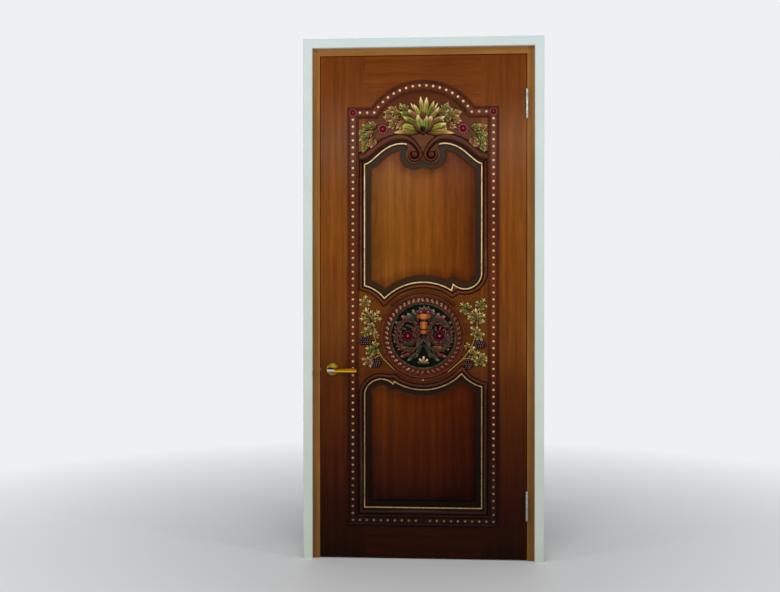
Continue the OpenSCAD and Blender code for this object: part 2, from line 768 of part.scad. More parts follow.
module spray(turned) {
  intersection() {
    mirror([turned, 0, 0]) {
      vine_leaves(spray_leaves);
      vine_leaves(corner_leaves);
      stem([[-60, ear_z - 62], [-84, ear_z - 48], [-118, ear_z - 44], [-146, ear_z - 58]], 4);
      stem([[-188, ear_z - 76], [-206, ear_z - 84], [-226, ear_z - 96], [-238, ear_z - 118]], 4);
    }
    difference() {
      crest_field();
      translate([0, crest_z, -1]) scale([1, 1, 9]) lobes(palmette_lobes);
    }
  }
}
module crest_spray_left() {
  color(leaf_green) on_face(face_y) spray(0);
}
module crest_spray_right() {
  color(leaf_green) on_face(face_y) spray(1);
}
module corner_rosettes() {
  color(rose_red) on_face(face_y - channel_h) for (s = [-1, 1])
    rosette([s * bead_x, ear_z], corner_rosette_r);
}
module crest_rosettes() {
  color(rose_red) on_face(face_y) for (p = crest_rosette_spots) rosette(p, crest_rosette_r);
}

// Vines beside the medallion; heights are given from its centre
grape_r = 6;
grape_pitch = 12.4;
bunches = [[-236.5, medallion_z - 26, 5, 3], [-196, medallion_z - 108, 3, 3], [240, medallion_z - 38, 4, 3],
  [204, medallion_z - 106, 3, 3]];
left_stem = [[-142, -112], [-158, -94], [-178, -70], [-194, -40], [-202, 0], [-208, 38],
  [-222, 84], [-238, 126]];
left_twig = [[-178, -70], [-212, -84], [-232, -112]];
right_stem = [[142, -112], [160, -92], [182, -64], [198, -30], [206, 4], [216, 36], [214, 84], [232, 122]];
right_twig = [[182, -64], [214, -88], [238, -118]];
left_leaves = [[-238, 142, 120, 34], [-226, 122, 40, 36], [-246, 98, 176, 38], [-222, 82, 30, 42],
  [-240, 66, 196, 36], [-204, 62, 60, 40], [-206, 34, 12, 32], [-222, 30, 150, 40], [-240, 12, 200, 34],
  [-218, -62, 170, 40], [-196, -58, 120, 34], [-236, -118, 214, 36], [-218, -96, 300, 30]];
right_leaves = [[236, 140, 60, 36], [222, 118, 146, 36], [244, 100, 4, 36], [206, 92, 130, 42],
  [232, 72, 350, 38], [200, 56, 120, 40], [236, 40, 10, 40], [210, 24, 40, 34], [240, 8, 340, 30], [196, -10, 200, 26],
  [212, -66, 20, 40], [190, -48, 70, 30], [240, -124, 320, 36], [220, -98, 250, 30]];
module vine(stem_points, twig, leaves) {
  intersection() {
    translate([0, medallion_z, 0]) {
      stem(stem_points, 3);
      stem(twig, 2.6);
      vine_leaves(leaves);
    }
    lock_field();
  }
}
module vine_left() {
  color(leaf_green) on_face(face_y) vine(left_stem, left_twig, left_leaves);
}
module vine_right() {
  color(leaf_green) on_face(face_y) vine(right_stem, right_twig, right_leaves);
}
module grapes() {
  color(grape_purple) on_face(face_y) for (b = bunches, j = [0:b[3] - 1], i = [0:b[2] - 1 - j % 2])
    translate([b[0] + (i - (b[2] - 1 - j % 2) / 2) * grape_pitch, b[1] + (1 - j) * 0.87 * grape_pitch, 0])
      bead(grape_r, 0);
}

// Medallion: turned ring, sunk dish, vase of flowers between two scrolls
dish_floor = face_y + 7;
vase_x = 3;
vase_top = 84;
module at_medallion(y) {
  on_face(y) translate([0, medallion_z, 0]) children();
}
module medallion_ring() {
  color(dark_teak) at_medallion(face_y) rotate_extrude($fn = 96) difference() {
    union() {
      translate([dish_r + 1, 0]) square([ring_r - dish_r - 1, channel_h]);
      translate([ring_r - 8, 5]) circle(r = 7);
      translate([ring_bead_r - 9.8, 3]) circle(r = 3.6);
    }
    translate([dish_r - 10, -20]) square([ring_r, 20]);
  }
}
module medallion_beads() {
  color(gilt) at_medallion(face_y) {
    for (i = [0:ring_beads - 1]) rotate([0, 0, 360 * (i + 0.5) / ring_beads])
      translate([ring_bead_r, 0, 0]) bead(5, channel_h);
  }
}
module medallion_dish() {
  color(dish_green) at_medallion(face_y + 10) rotate_extrude($fn = 96)
    polygon([[0, 0], [dish_r, 0], [dish_r, 9], [dish_r - 4, 8.5], [dish_r - 9, 3], [0, 3]]);
}
vase_profile = [[0, -26], [15, -26], [13, -19], [5, -8], [5, -4], [10, 2], [17, 10], [17, 16], [7, 26],
  [7, 29], [15, 36], [18, 46], [17, 62], [30, 72], [33, 78], [30, vase_top], [0, vase_top]];
module medallion_vase() {
  color(vase_orange) at_medallion(dish_floor) translate([vase_x, 0, 0])
    scale([1, 1, 0.55]) rotate([90, 0, 180]) rotate_extrude(angle = 180, $fn = 48) polygon(vase_profile);
}
module scroll_half() {
  run([for (i = [0:10]) let (t = i / 10, a = 236 + 330 * t, r = 47 - 14 * t)
    [scroll_x + r * cos(a), r * sin(a), 8 - 3 * t]], 9);
  run([[18, -34, 6], [28, -38, 7], [40, -39, 8]], 9);
  lobes([[36, -44, 250, 44, 20, 9], [64, -54, 272, 40, 20, 9], [92, -42, 300, 28, 18, 8],
    [12, -36, 284, 44, 20, 9], [108, 6, 60, 26, 16, 7], [54, 44, 112, 26, 16, 7], [88, 36, 76, 26, 16, 7],
    [6, -52, 266, 58, 18, 10]]);
}
module flower_fan() {
  intersection() {
    for (a = [30:20:150]) translate([0, vase_top, 0]) rotate([0, 0, a]) lobe(34, 13, 8);
    translate([-50, vase_top + 0.4, -1]) cube([100, 50, 30]);
  }
}
module medallion_scrolls() {
  color(vase_orange) at_medallion(dish_floor) translate([vase_x, 0, 0]) {
    scroll_half();
    mirror([1, 0, 0]) scroll_half();
    flower_fan();
  }
}
module medallion_rosettes() {
  color(rose_red) at_medallion(dish_floor) for (s = [-1, 1])
    rosette([vase_x + s * scroll_x, 0], scroll_rosette_r);
}

// Lever handles on roses, square spindle and tubular latch
module at_hub_front() {
  on_face(face_y) translate([hub_x, lever_z, 0]) children();
}
module at_hub_back() {
  on_back(back_y) translate([hub_x, -lever_z, 0]) children();
}
module rose_body() {
  rise = rose_t - 3;
  ball = (rose_r * rose_r + rise * rise) / (2 * rise);
  rotate_extrude($fn = 72) intersection() {
    translate([0, rose_t - ball]) circle(r = ball, $fn = 180);
    translate([neck_r + fit, 0]) square([rose_r - neck_r - fit - 0.2, rose_t]);
  }
}
module front_rose() {
  color(brass) at_hub_front() rose_body();
}
module back_rose() {
  color(brass) at_hub_back() rose_body();
}
module rose_bolts() {
  color(steel) for (s = [-1, 1]) translate([hub_x, face_y, lever_z + s * bolt_off]) rotate([-90, 0, 0])
    cylinder(h = leaf_t, r = 2.5);
}
module hub_body() {
  difference() {
    union() {
      cylinder(h = lever_stand, r = neck_r);
      translate([-hub_half, 0, lever_stand]) rotate([0, 90, 0]) cylinder(h = 2 * hub_half, r = hub_r);
    }
    translate([-socket_w / 2, -socket_w / 2, -1]) cube([socket_w, socket_w, spindle_in + 2]);
    translate([hub_half - 9, 0, lever_stand]) rotate([0, 90, 0]) cylinder(h = 10, r = 5.05);
  }
}
module grip_body() {
  translate([hub_half, 0, lever_stand]) rotate([0, 90, 0]) {
    translate([0, 0, -8.5]) cylinder(h = 10, r = 5);
    cylinder(h = lever_reach - hub_half - 3, r = grip_r);
    translate([0, 0, lever_reach - hub_half - 3]) cylinder(h = 3, r1 = grip_r, r2 = grip_r - 3);
  }
}
module front_lever_hub() {
  color(steel) at_hub_front() hub_body();
}
module front_lever_grip() {
  color(brass) at_hub_front() grip_body();
}
module back_lever_hub() {
  color(steel) at_hub_back() hub_body();
}
module back_lever_grip() {
  color(brass) at_hub_back() grip_body();
}
module spindle() {
  color(steel) translate([hub_x - spindle_w / 2, face_y - spindle_in, lever_z - spindle_w / 2])
    cube([spindle_w, leaf_t + 2 * spindle_in, spindle_w]);
}
module latch_follower() {
  color(steel) translate([hub_x, mid_y, lever_z]) rotate([90, 0, 0]) difference() {
    cylinder(h = follower_h, r = follower_r, center = true);
    cube([socket_w, socket_w, follower_h + 2], center = true);
  }
}
module latch_case() {
  color(steel) difference() {
    translate([-leaf_x + plate_in, mid_y, lever_z]) rotate([0, 90, 0]) cylinder(h = backset + 20, r = case_r);
    translate([-leaf_x, mid_y, lever_z]) rotate([0, 90, 0]) cylinder(h = backset + 16, r = bolt_r + 0.09);
    translate([hub_x, mid_y - case_r - 1, lever_z]) rotate([-90, 0, 0])
      cylinder(h = 2 * case_r + 2, r = follower_r + 0.3);
  }
}
module faceplate_blank(extra, t) {
  translate([-0.01, -face_w / 2 - extra, -face_l / 2 - extra])
    cube([t + 0.01, face_w + 2 * extra, face_l + 2 * extra]);
}
module latch_faceplate() {
  color(brass) difference() {
    translate([-leaf_x + 0.01, mid_y, lever_z]) faceplate_blank(0, plate_in - 0.01);
    translate([-leaf_x - 1, mid_y, lever_z]) rotate([0, 90, 0]) cylinder(h = plate_in + 2, r = bolt_r + 0.4);
    for (s = [-1, 1]) translate([-leaf_x + plate_in - plate_t, mid_y, lever_z + s * latch_screw])
      rotate([0, 90, 0]) {
      cylinder(h = plate_t + 0.01, r1 = screw_head_r + 0.06, r2 = screw_r + 0.06);
      translate([0, 0, -1]) cylinder(h = 1.01, r = screw_head_r + 0.06);
    }
  }
}
module faceplate_screws() {
  color(brass) for (s = [-1, 1]) translate([-leaf_x + plate_in, mid_y, lever_z + s * latch_screw])
    rotate([0, 90, 0]) screw(19);
}
module latch_bolt() {
  color(steel) difference() {
    translate([-leaf_x - latch_out, mid_y, lever_z]) rotate([0, 90, 0])
      cylinder(h = latch_out + bolt_in, r = bolt_r);
    translate([-leaf_x - latch_out, mid_y - 3, lever_z - 15]) rotate([0, 0, 42])
      translate([-30, 0, 0]) cube([60, 30, 30]);
  }
}
module strike_room() {
  translate([-0.01, -strike_w / 2 - 0.2, -strike_l / 2 - 0.2])
    cube([strike_t + 1, strike_w + 0.4, strike_l + 0.4]);
  translate([-0.01, -mid_y - 1, -lip_l / 2 - 0.2]) cube([strike_t + 1, mid_y, lip_l + 0.4]);
}
module strike_plate() {
  color(brass) translate([-half_w - strike_t, mid_y, lever_z]) difference() {
    union() {
      translate([0, -strike_w / 2, -strike_l / 2]) cube([strike_t, strike_w, strike_l]);
      translate([0, -mid_y + 0.5, -lip_l / 2]) cube([strike_t, mid_y - 10, lip_l]);
    }
    translate([-1, -9.3, -10]) cube([strike_t + 2, 18.6, 20]);
    for (s = [-1, 1]) translate([-0.01, 0, s * latch_screw]) rotate([0, 90, 0])
      cylinder(h = strike_t + 0.02, r1 = screw_r + 0.06, r2 = screw_head_r + 0.06);
  }
}
module strike_screws() {
  color(brass) for (s = [-1, 1]) translate([-half_w - strike_t, mid_y, lever_z + s * latch_screw])
    rotate([0, -90, 0]) {
    translate([0, 0, -strike_t]) cylinder(h = strike_t, r1 = screw_head_r, r2 = screw_r);
    cylinder(h = 15.5, r = screw_r);
  }
}

lock_jamb();
hinge_jamb();
head_jamb();
casing_left();
casing_right();
casing_head();
back_casing_left();
back_casing_right();
back_casing_head();
hinge_leaves_jamb();
hinge_pins();
hinge_screws_jamb();
strike_plate();
strike_screws();
lock_stile();
hinge_stile();
top_rail();
lock_rail();
bottom_rail();
upper_panel();
lower_panel();
border_left();
border_right();
border_arch();
border_bottom();
border_beads();
upper_moulding();
lower_moulding();
upper_fillet();
lower_fillet();
crest_palmette();
crest_spray_left();
crest_spray_right();
corner_rosettes();
crest_rosettes();
vine_left();
vine_right();
grapes();
medallion_ring();
medallion_dish();
medallion_beads();
medallion_vase();
medallion_scrolls();
medallion_rosettes();
hinge_leaves_door();
hinge_screws_door();
front_rose();
back_rose();
rose_bolts();
latch_case();
latch_faceplate();
faceplate_screws();
front_lever_hub();
front_lever_grip();
back_lever_hub();
back_lever_grip();
spindle();
latch_follower();
latch_bolt();
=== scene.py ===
# %% [markdown]
# A carved door, dressed in Blender
#
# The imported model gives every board, hinge and lever at its real size and place.
# This lesson keeps those solids as the frame and adds what a joiner and a painter add:
# the lacquer on the teak, the hand carving, the gilding and the polish on the brass.
# All measures of the door are in millimetres and turn into Blender's metres when a mesh is made.

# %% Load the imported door
import math

import bpy
import numpy as np
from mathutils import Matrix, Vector


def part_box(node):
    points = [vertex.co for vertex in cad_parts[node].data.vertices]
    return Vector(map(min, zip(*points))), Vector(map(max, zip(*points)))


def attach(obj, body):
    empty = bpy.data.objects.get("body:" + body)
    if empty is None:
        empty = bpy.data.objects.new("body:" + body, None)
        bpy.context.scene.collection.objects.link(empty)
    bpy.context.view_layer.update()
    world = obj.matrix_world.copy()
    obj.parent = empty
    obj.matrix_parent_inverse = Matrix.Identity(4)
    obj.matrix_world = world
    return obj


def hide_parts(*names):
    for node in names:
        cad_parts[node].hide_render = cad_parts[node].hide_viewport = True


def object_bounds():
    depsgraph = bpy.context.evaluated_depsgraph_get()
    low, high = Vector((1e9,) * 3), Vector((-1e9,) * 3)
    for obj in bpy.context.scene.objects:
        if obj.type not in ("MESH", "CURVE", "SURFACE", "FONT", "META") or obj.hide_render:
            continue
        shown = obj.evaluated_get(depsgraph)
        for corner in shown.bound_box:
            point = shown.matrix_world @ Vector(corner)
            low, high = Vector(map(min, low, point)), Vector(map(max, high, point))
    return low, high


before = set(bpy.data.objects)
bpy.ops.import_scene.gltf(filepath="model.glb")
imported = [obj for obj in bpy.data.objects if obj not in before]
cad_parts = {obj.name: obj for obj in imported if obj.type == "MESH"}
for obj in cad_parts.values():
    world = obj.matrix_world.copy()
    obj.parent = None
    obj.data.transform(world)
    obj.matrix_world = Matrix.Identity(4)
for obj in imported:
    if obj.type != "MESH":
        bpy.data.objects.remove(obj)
cad_low, cad_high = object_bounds()
MM = 0.001
print("door set", [round(v / MM) for v in cad_high - cad_low], "mm")

# %% [markdown]
# The driving sizes of the carved front come from the frame itself. A box round a node tells where
# its board starts and ends, so the carving follows the joinery if a board ever moves. Only the
# panels' tongue and the depth of the dish can't be read from a box and are given as numbers.


# %% Measure the boards that carry the ornament
def box_mm(node):
    low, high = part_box(node)
    return np.array(low) / MM, np.array(high) / MM


def middle_mm(node):
    low, high = box_mm(node)
    return (low + high) / 2


TONGUE, DISH_DEPTH = 10.0, 7.0
face = box_mm("lock_stile")[0][1]
panel_low, panel_high = box_mm("lower_panel")
panel_x, sill_z = panel_high[0] - TONGUE, panel_low[2] + TONGUE
ring_low, ring_high = box_mm("medallion_ring")
medal_z, ring_r = (ring_low[2] + ring_high[2]) / 2, (ring_high[0] - ring_low[0]) / 2
dish_floor = face + DISH_DEPTH
bead_x = middle_mm("border_right")[0]
border_half = bead_x - box_mm("border_right")[0][0]
ear_z = middle_mm("corner_rosettes")[2]
foot_z = middle_mm("border_bottom")[2]
print("panel half width", round(panel_x), "medallion at", round(medal_z), "ears at", round(ear_z))

# %% [markdown]
# The camera stands where the viewer stood: a little right of the door's middle, at chest height
# and turned slightly to the left. A lens is set by its width of view, so the focal length in
# pixels over the picture's width gives the lens for Blender's 36 mm sensor.

# %% Set the camera
PICTURE_W, FOCAL_PX = 780, 950
STAND_X, STAND_BACK, EYE_H = 0.100, 3.956, 1.121
LOOK_DOWN, LOOK_LEFT = 0.336, 3.434
viewer = bpy.data.cameras.new("viewer")
viewer.sensor_width = 36.0
viewer.lens = FOCAL_PX / PICTURE_W * viewer.sensor_width
camera = bpy.data.objects.new("viewer", viewer)
camera.location = (STAND_X, face * MM - STAND_BACK, EYE_H)
camera.rotation_euler = (math.radians(90 - LOOK_DOWN), 0, math.radians(LOOK_LEFT))
bpy.context.scene.collection.objects.link(camera)
bpy.context.scene.camera = camera
print("lens", round(viewer.lens, 2), "mm")

# %% [markdown]
# Every finish is a small network of nodes. These helpers keep the recipes short: one turns a colour
# as seen on a screen into the linear colour that a shader works with, one makes a node and wires
# it, one makes a band of colours, one mixes two colours, and two stretch a value or make noise.


# %% Helpers for nodes
def tone(red, green, blue):
    def linear(value):
        share = value / 255
        return share / 12.92 if share <= 0.04045 else ((share + 0.055) / 1.055) ** 2.4

    return (linear(red), linear(green), linear(blue), 1.0)


def node(tree, kind, inputs=None, **settings):
    made = tree.nodes.new("ShaderNode" + kind)
    for key, value in settings.items():
        setattr(made, key, value)
    for key, value in (inputs or {}).items():
        if isinstance(value, bpy.types.NodeSocket):
            tree.links.new(value, made.inputs[key])
        else:
            made.inputs[key].default_value = value
    return made


def ramp(tree, factor, stops):
    made = node(tree, "ValToRGB", {"Fac": factor})
    band = made.color_ramp
    band.elements.remove(band.elements[1])
    band.elements[0].position, band.elements[0].color = stops[0]
    for place, colour in stops[1:]:
        band.elements.new(place).color = colour
    return made.outputs["Color"]


def mixed(tree, how, factor, first, second):
    made = node(tree, "Mix", data_type="RGBA", blend_type=how)
    for index, value in ((0, factor), (6, first), (7, second)):
        if isinstance(value, bpy.types.NodeSocket):
            tree.links.new(value, made.inputs[index])
        else:
            made.inputs[index].default_value = value
    return made.outputs[2]


def spread(tree, value, low, high, to_low=0.0, to_high=1.0):
    made = node(tree, "MapRange", {"Value": value, "From Min": low, "From Max": high})
    made.inputs["To Min"].default_value = to_low
    made.inputs["To Max"].default_value = to_high
    return made.outputs["Result"]


def noise(tree, vector, scale, detail=4.0, roughness=0.55):
    made = node(tree, "TexNoise", {"Vector": vector, "Scale": scale})
    made.inputs["Detail"].default_value = detail
    made.inputs["Roughness"].default_value = roughness
    return made.outputs["Fac"]


print("node helpers ready")

# %% [markdown]
# A finish also has to know where on the door it lies, and that comes from the object's own
# coordinates. The last helper lays a finished colour on the shader and lets one pattern of marks
# steer both the roughness and the fine dents, as real brush marks or wood fibres do.


# %% Helpers for coats
def maths(tree, how, first, second):
    return node(tree, "Math", {0: first, 1: second}, operation=how).outputs["Value"]


def axis(tree, place, letter):
    return node(tree, "SeparateXYZ", {"Vector": place}).outputs[letter]


def from_centre(tree, place, centre_z):
    """How far a point of the front lies from a centre on the door's middle line."""
    centre = (0, 0, centre_z * MM)
    away = node(tree, "VectorMath", {0: place, 1: centre}, operation="SUBTRACT").outputs["Vector"]
    flat = node(tree, "VectorMath", {0: away, 1: (1, 0, 1)}, operation="MULTIPLY").outputs["Vector"]
    return node(tree, "VectorMath", {0: flat}, operation="LENGTH").outputs["Value"]


def blank(name):
    material = bpy.data.materials.new(name)
    material.use_nodes = True
    tree = material.node_tree
    place = node(tree, "TexCoord").outputs["Object"]
    return material, tree, tree.nodes["Principled BSDF"], place


def dent(tree, shader, height, strength, distance):
    bump = node(tree, "Bump", {"Height": height, "Strength": strength, "Distance": distance})
    tree.links.new(bump.outputs["Normal"], shader.inputs["Normal"])


def coated(tree, shader, colour, marks, roughness, shine, strength, distance):
    tree.links.new(colour, shader.inputs["Base Color"])
    tree.links.new(spread(tree, marks, 0.3, 0.7, *roughness), shader.inputs["Roughness"])
    shader.inputs["Specular IOR Level"].default_value = shine
    dent(tree, shader, marks, strength, distance)


print("coat helpers ready")

# %% [markdown]
# Teak under lacquer is a warm ground with three kinds of mark: broad growth figure, fine fibre
# lines along the board and slow clouds of colour. The texture space is squeezed along the grain so
# that every mark runs with the board. This door also looks darker and redder toward the floor. The
# cause can't be told, so a band of tones that follows the height simply repeats it.

# %% Teak lacquer
GRAIN_SQUEEZE = 0.05
DOOR_TOP = cad_high.z
LEAF_TONES = [
    (0.0, tone(28, 10, 3)), (0.1, tone(45, 16, 6)), (0.2, tone(65, 26, 6)), (0.34, tone(88, 42, 10)),
    (0.42, tone(108, 60, 20)), (0.6, tone(122, 68, 18)), (0.8, tone(118, 67, 22)), (0.9, tone(107, 54, 12)),
    (1.0, tone(101, 50, 9)),
]
CARVED_TONES = [
    (0.0, tone(34, 14, 6)), (0.12, tone(40, 16, 8)), (0.3, tone(58, 22, 8)), (0.45, tone(104, 52, 20)),
    (0.6, tone(100, 48, 18)), (0.8, tone(98, 47, 20)), (1.0, tone(95, 45, 20)),
]
FOOT_TONES = [(0.0, tone(40, 13, 4)), (0.1, tone(46, 17, 6)), (0.14, tone(54, 21, 6))]
RAIL_TONES = [
    (0.3, tone(66, 30, 8)), (0.38, tone(84, 44, 12)), (0.5, tone(98, 54, 15)), (0.6, tone(100, 54, 14)),
]
JAMB_TONES = [
    (0.0, tone(124, 85, 44)), (0.4, tone(136, 95, 48)), (0.6, tone(132, 90, 42)), (1.0, tone(146, 99, 48)),
]
CREST_STAIN = (0.56, 0.52, 0.66, 1)


def height_tone(tree, place, tones):
    return ramp(tree, spread(tree, axis(tree, place, "Z"), 0.0, DOOR_TOP), tones)


def grain(tree, place, along):
    squeeze = (GRAIN_SQUEEZE, 1, 1) if along == "X" else (1, 1, GRAIN_SQUEEZE)
    board = node(tree, "Mapping", {"Vector": place, "Scale": squeeze}).outputs["Vector"]
    figure = node(tree, "TexWave", {"Vector": board, "Scale": 7.0, "Distortion": 9.0, "Detail": 3.0,
                                    "Detail Scale": 1.2}, bands_direction="Z" if along == "X" else "X")
    fibre = noise(tree, board, 240.0, 6.0, 0.6)
    cloud = noise(tree, place, 3.2, 2.0)
    streak = noise(tree, board, 46.0, 3.0)
    figured = ramp(tree, figure.outputs["Fac"], [(0.0, (0.90,) * 3 + (1,)), (1.0, (1.06,) * 3 + (1,))])
    fibred = ramp(tree, fibre, [(0.3, (0.80, 0.77, 0.72, 1)), (0.7, (1.1, 1.1, 1.1, 1))])
    streaked = ramp(tree, streak, [(0.3, (0.82, 0.79, 0.75, 1)), (0.72, (1.16, 1.15, 1.12, 1))])
    clouded = ramp(tree, cloud, [(0.3, (0.9, 0.86, 0.82, 1)), (0.7, (1.1, 1.1, 1.1, 1))])
    marks = mixed(tree, "MULTIPLY", 1.0, figured, fibred)
    marks = mixed(tree, "MULTIPLY", 1.0, marks, streaked)
    return mixed(tree, "MULTIPLY", 1.0, marks, clouded), fibre


def teak(name, along, tones, roughness=(0.15, 0.23), shine=0.04, field=None):
    material, tree, shader, place = blank(name)
    marks, fibre = grain(tree, place, along)
    colour = mixed(tree, "MULTIPLY", 1.0, height_tone(tree, place, tones), marks)
    if field:
        colour = mixed(tree, "MULTIPLY", field(tree, place), colour, CREST_STAIN)
    coated(tree, shader, colour, fibre, roughness, shine, 0.12, 0.0004)
    return material


print("teak recipe ready")

# %% [markdown]
# Two parts of the front are stained darker than the boards they lie on: the field under the beaded
# arch and the two ridges of the border. The stain is not a piece of its own, so a mask is worked
# out from the place of each point: its distance from the arch's centre, its height and its depth.

# %% Stained teak and plain teak
ARCH_R, ARCH_DROP, CHANNEL_H = 218.0, 129.0, 4.0
arch_z = ear_z - ARCH_DROP
ear_low = ear_z - border_half


def under_arch(tree, place):
    """One inside the beaded arch and below its ears, nothing outside or behind the front."""
    bow = spread(tree, from_centre(tree, place, arch_z), ARCH_R * MM, (ARCH_R - 4) * MM)
    ears = spread(tree, axis(tree, place, "Z"), (ear_low + 2) * MM, (ear_low - 2) * MM)
    in_front = spread(tree, axis(tree, place, "Y"), (face + 4) * MM, (face + 2) * MM)
    return maths(tree, "MULTIPLY", maths(tree, "MAXIMUM", bow, ears), in_front)


def on_ridges(tree, place):
    """One on the ridges of the border and nothing in the channel that holds its beads."""
    channel = face - CHANNEL_H
    return spread(tree, axis(tree, place, "Y"), (channel - 0.5) * MM, (channel - 3) * MM)


crest_teak = teak("crest_teak", "X", LEAF_TONES, field=under_arch)
upright_teak = teak("upright_teak", "Z", LEAF_TONES)
foot_teak = teak("foot_teak", "X", FOOT_TONES)
rail_teak = teak("rail_teak", "X", RAIL_TONES)
jamb_teak = teak("jamb_teak", "Z", JAMB_TONES, (0.38, 0.52), 0.06)
head_teak = teak("head_teak", "X", JAMB_TONES, (0.38, 0.52), 0.06)
border_teak = teak("border_teak", "Z", CARVED_TONES, (0.14, 0.22), 0.055, on_ridges)
print("teak finishes:", [m.name for m in bpy.data.materials if "teak" in m.name])

# %% [markdown]
# The casings are boards with an old coat of white paint. Brushed paint is never flat: faint lines
# follow the brush, the tone drifts a little, and the white is warmer at the foot than at the top.

# %% Casing paint
PAINT_TONES = [(0.0, tone(194, 201, 189)), (0.3, tone(199, 208, 198)), (1.0, tone(192, 204, 201))]
BRUSH_SQUEEZE = 0.03


def casing_coat(name, along):
    material, tree, shader, place = blank(name)
    squeeze = (BRUSH_SQUEEZE, 1, 1) if along == "X" else (1, 1, BRUSH_SQUEEZE)
    brush = node(tree, "Mapping", {"Vector": place, "Scale": squeeze}).outputs["Vector"]
    lines = noise(tree, brush, 320.0, 3.0)
    drift = ramp(tree, noise(tree, place, 5.0), [(0.3, (0.95, 0.95, 0.95, 1)), (0.7, (1.03, 1.03, 1.03, 1))])
    colour = mixed(tree, "MULTIPLY", 1.0, height_tone(tree, place, PAINT_TONES), drift)
    coated(tree, shader, colour, lines, (0.42, 0.56), 0.3, 0.15, 0.0005)
    return material


upright_paint = casing_coat("upright_paint", "Z")
level_paint = casing_coat("level_paint", "X")
print("casing paint made")

# %% [markdown]
# Metal shows what is round it, so its recipe is mostly roughness. Brass has hazy patches where
# hands polish it and fine turning lines; the plated hub and the steel hinges are greyer and duller.
# The lever set carries a painted reflection: it is darker above its middle than below, a tone laid
# on the metal by height that stays on the piece under any light. Whether that is tarnish or a
# reflection can't be told, so it is a tone laid on the metal by height: it stays on the piece under
# any light.

# %% Metals
lever_z = middle_mm("front_rose")[2]
DIM_BRASS_REFLECTION, DARK_BRASS_REFLECTION, BLACK_REFLECTION = (0.5, 0.47, 0.34, 1), (0.2, 0.09, 0.05, 1), (0.04, 0.04, 0.04, 1)


def metal(name, colour, dull_colour, roughness, reflection_tone=None, edge=(-3, 1)):
    material, tree, shader, place = blank(name)
    patch = noise(tree, place, 38.0, 3.0)
    fine = noise(tree, place, 900.0, 2.0)
    polished = ramp(tree, patch, [(0.35, dull_colour), (0.65, colour)])
    # Painted reflection: the metal is darkened above the lever's middle.
    if reflection_tone:
        low, high = ((lever_z + up) * MM for up in edge)
        above = spread(tree, axis(tree, place, "Z"), low, high)
        polished = mixed(tree, "MULTIPLY", above, polished, reflection_tone)
    tree.links.new(polished, shader.inputs["Base Color"])
    tree.links.new(spread(tree, patch, 0.3, 0.7, roughness + 0.12, roughness), shader.inputs["Roughness"])
    shader.inputs["Metallic"].default_value = 1.0
    dent(tree, shader, fine, 0.03, 0.0002)
    return material


brass = metal("brass", tone(158, 136, 40), tone(116, 100, 32), 0.3, DIM_BRASS_REFLECTION)
handled_brass = metal("handled_brass", tone(224, 190, 52), tone(206, 172, 46), 0.2, DARK_BRASS_REFLECTION)
chrome = metal("chrome", tone(206, 204, 204), tone(178, 176, 178), 0.1, BLACK_REFLECTION, (1, 3))
steel = metal("steel", tone(168, 168, 164), tone(130, 128, 122), 0.3)
print("metals:", brass.name, chrome.name, steel.name)

# %% [markdown]
# Gilding and the painter's colours lie on the carving in thin worn coats. Gilt is a satin cream
# gold that goes brown where it has rubbed through. The carved pieces carry their colours as a
# painted attribute on the mesh, called paint, so that each leaf can be green at its root and cream
# at its tip, and the shader only adds the brush and the wear.


# %% Gilding and paint
def gilding(name, tones, shine, crown=None):
    material, tree, shader, place = blank(name)
    rub = noise(tree, place, 55.0, 5.0, 0.65)
    colour = height_tone(tree, place, tones)
    colour = mixed(tree, "MULTIPLY", spread(tree, rub, 0.52, 0.36), colour, (0.62, 0.5, 0.42, 1))
    # Painted highlight and shade on raised beads: only the frontmost cap keeps the full gilt, and the sides
    # below it are darkened to brown.
    if crown:
        below_cap_shade = spread(tree, axis(tree, place, "Y"), (crown + 0.8) * MM, (crown + 2.8) * MM)
        colour = mixed(tree, "MULTIPLY", below_cap_shade, colour, (0.42, 0.28, 0.2, 1))
    shader.inputs["Metallic"].default_value = 0.15
    coated(tree, shader, colour, rub, (0.5, 0.3), shine, 0.2, 0.0006)
    return material


def painted(name, roughness, grit):
    material, tree, shader, place = blank(name)
    coat = node(tree, "Attribute", attribute_name="paint").outputs["Color"]
    brush = noise(tree, place, 210.0, 5.0, 0.6)
    drift = ramp(tree, brush, [(0.3, (0.78, 0.76, 0.72, 1)), (0.7, (1.14, 1.14, 1.14, 1))])
    colour = mixed(tree, "MULTIPLY", 1.0, coat, drift)
    coated(tree, shader, colour, brush, (roughness + 0.1, roughness - 0.06), 0.1, grit, 0.0006)
    return material


GILT_TONES = [
    (0.08, tone(172, 140, 84)), (0.13, tone(140, 110, 66)), (0.32, tone(156, 124, 78)),
    (0.42, tone(212, 180, 120)), (0.8, tone(222, 194, 140)),
]
BEAD_TONES = [
    (0.06, tone(112, 86, 60)), (0.15, tone(134, 104, 70)), (0.26, tone(184, 146, 88)),
    (0.42, tone(206, 170, 114)), (0.6, tone(206, 170, 128)), (0.8, tone(226, 198, 158)),
]
gilt = gilding("gilt", GILT_TONES, 0.2)
bead_gilt = gilding("bead_gilt", BEAD_TONES, 0.3, box_mm("border_beads")[0][1])
carved_paint = painted("carved_paint", 0.26, 0.35)
fruit_paint = painted("fruit_paint", 0.16, 0.15)
print("gilding and paint made")

# %% [markdown]
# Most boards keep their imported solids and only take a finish. The stiles and jambs have upright
# grain, the rails and heads have level grain.

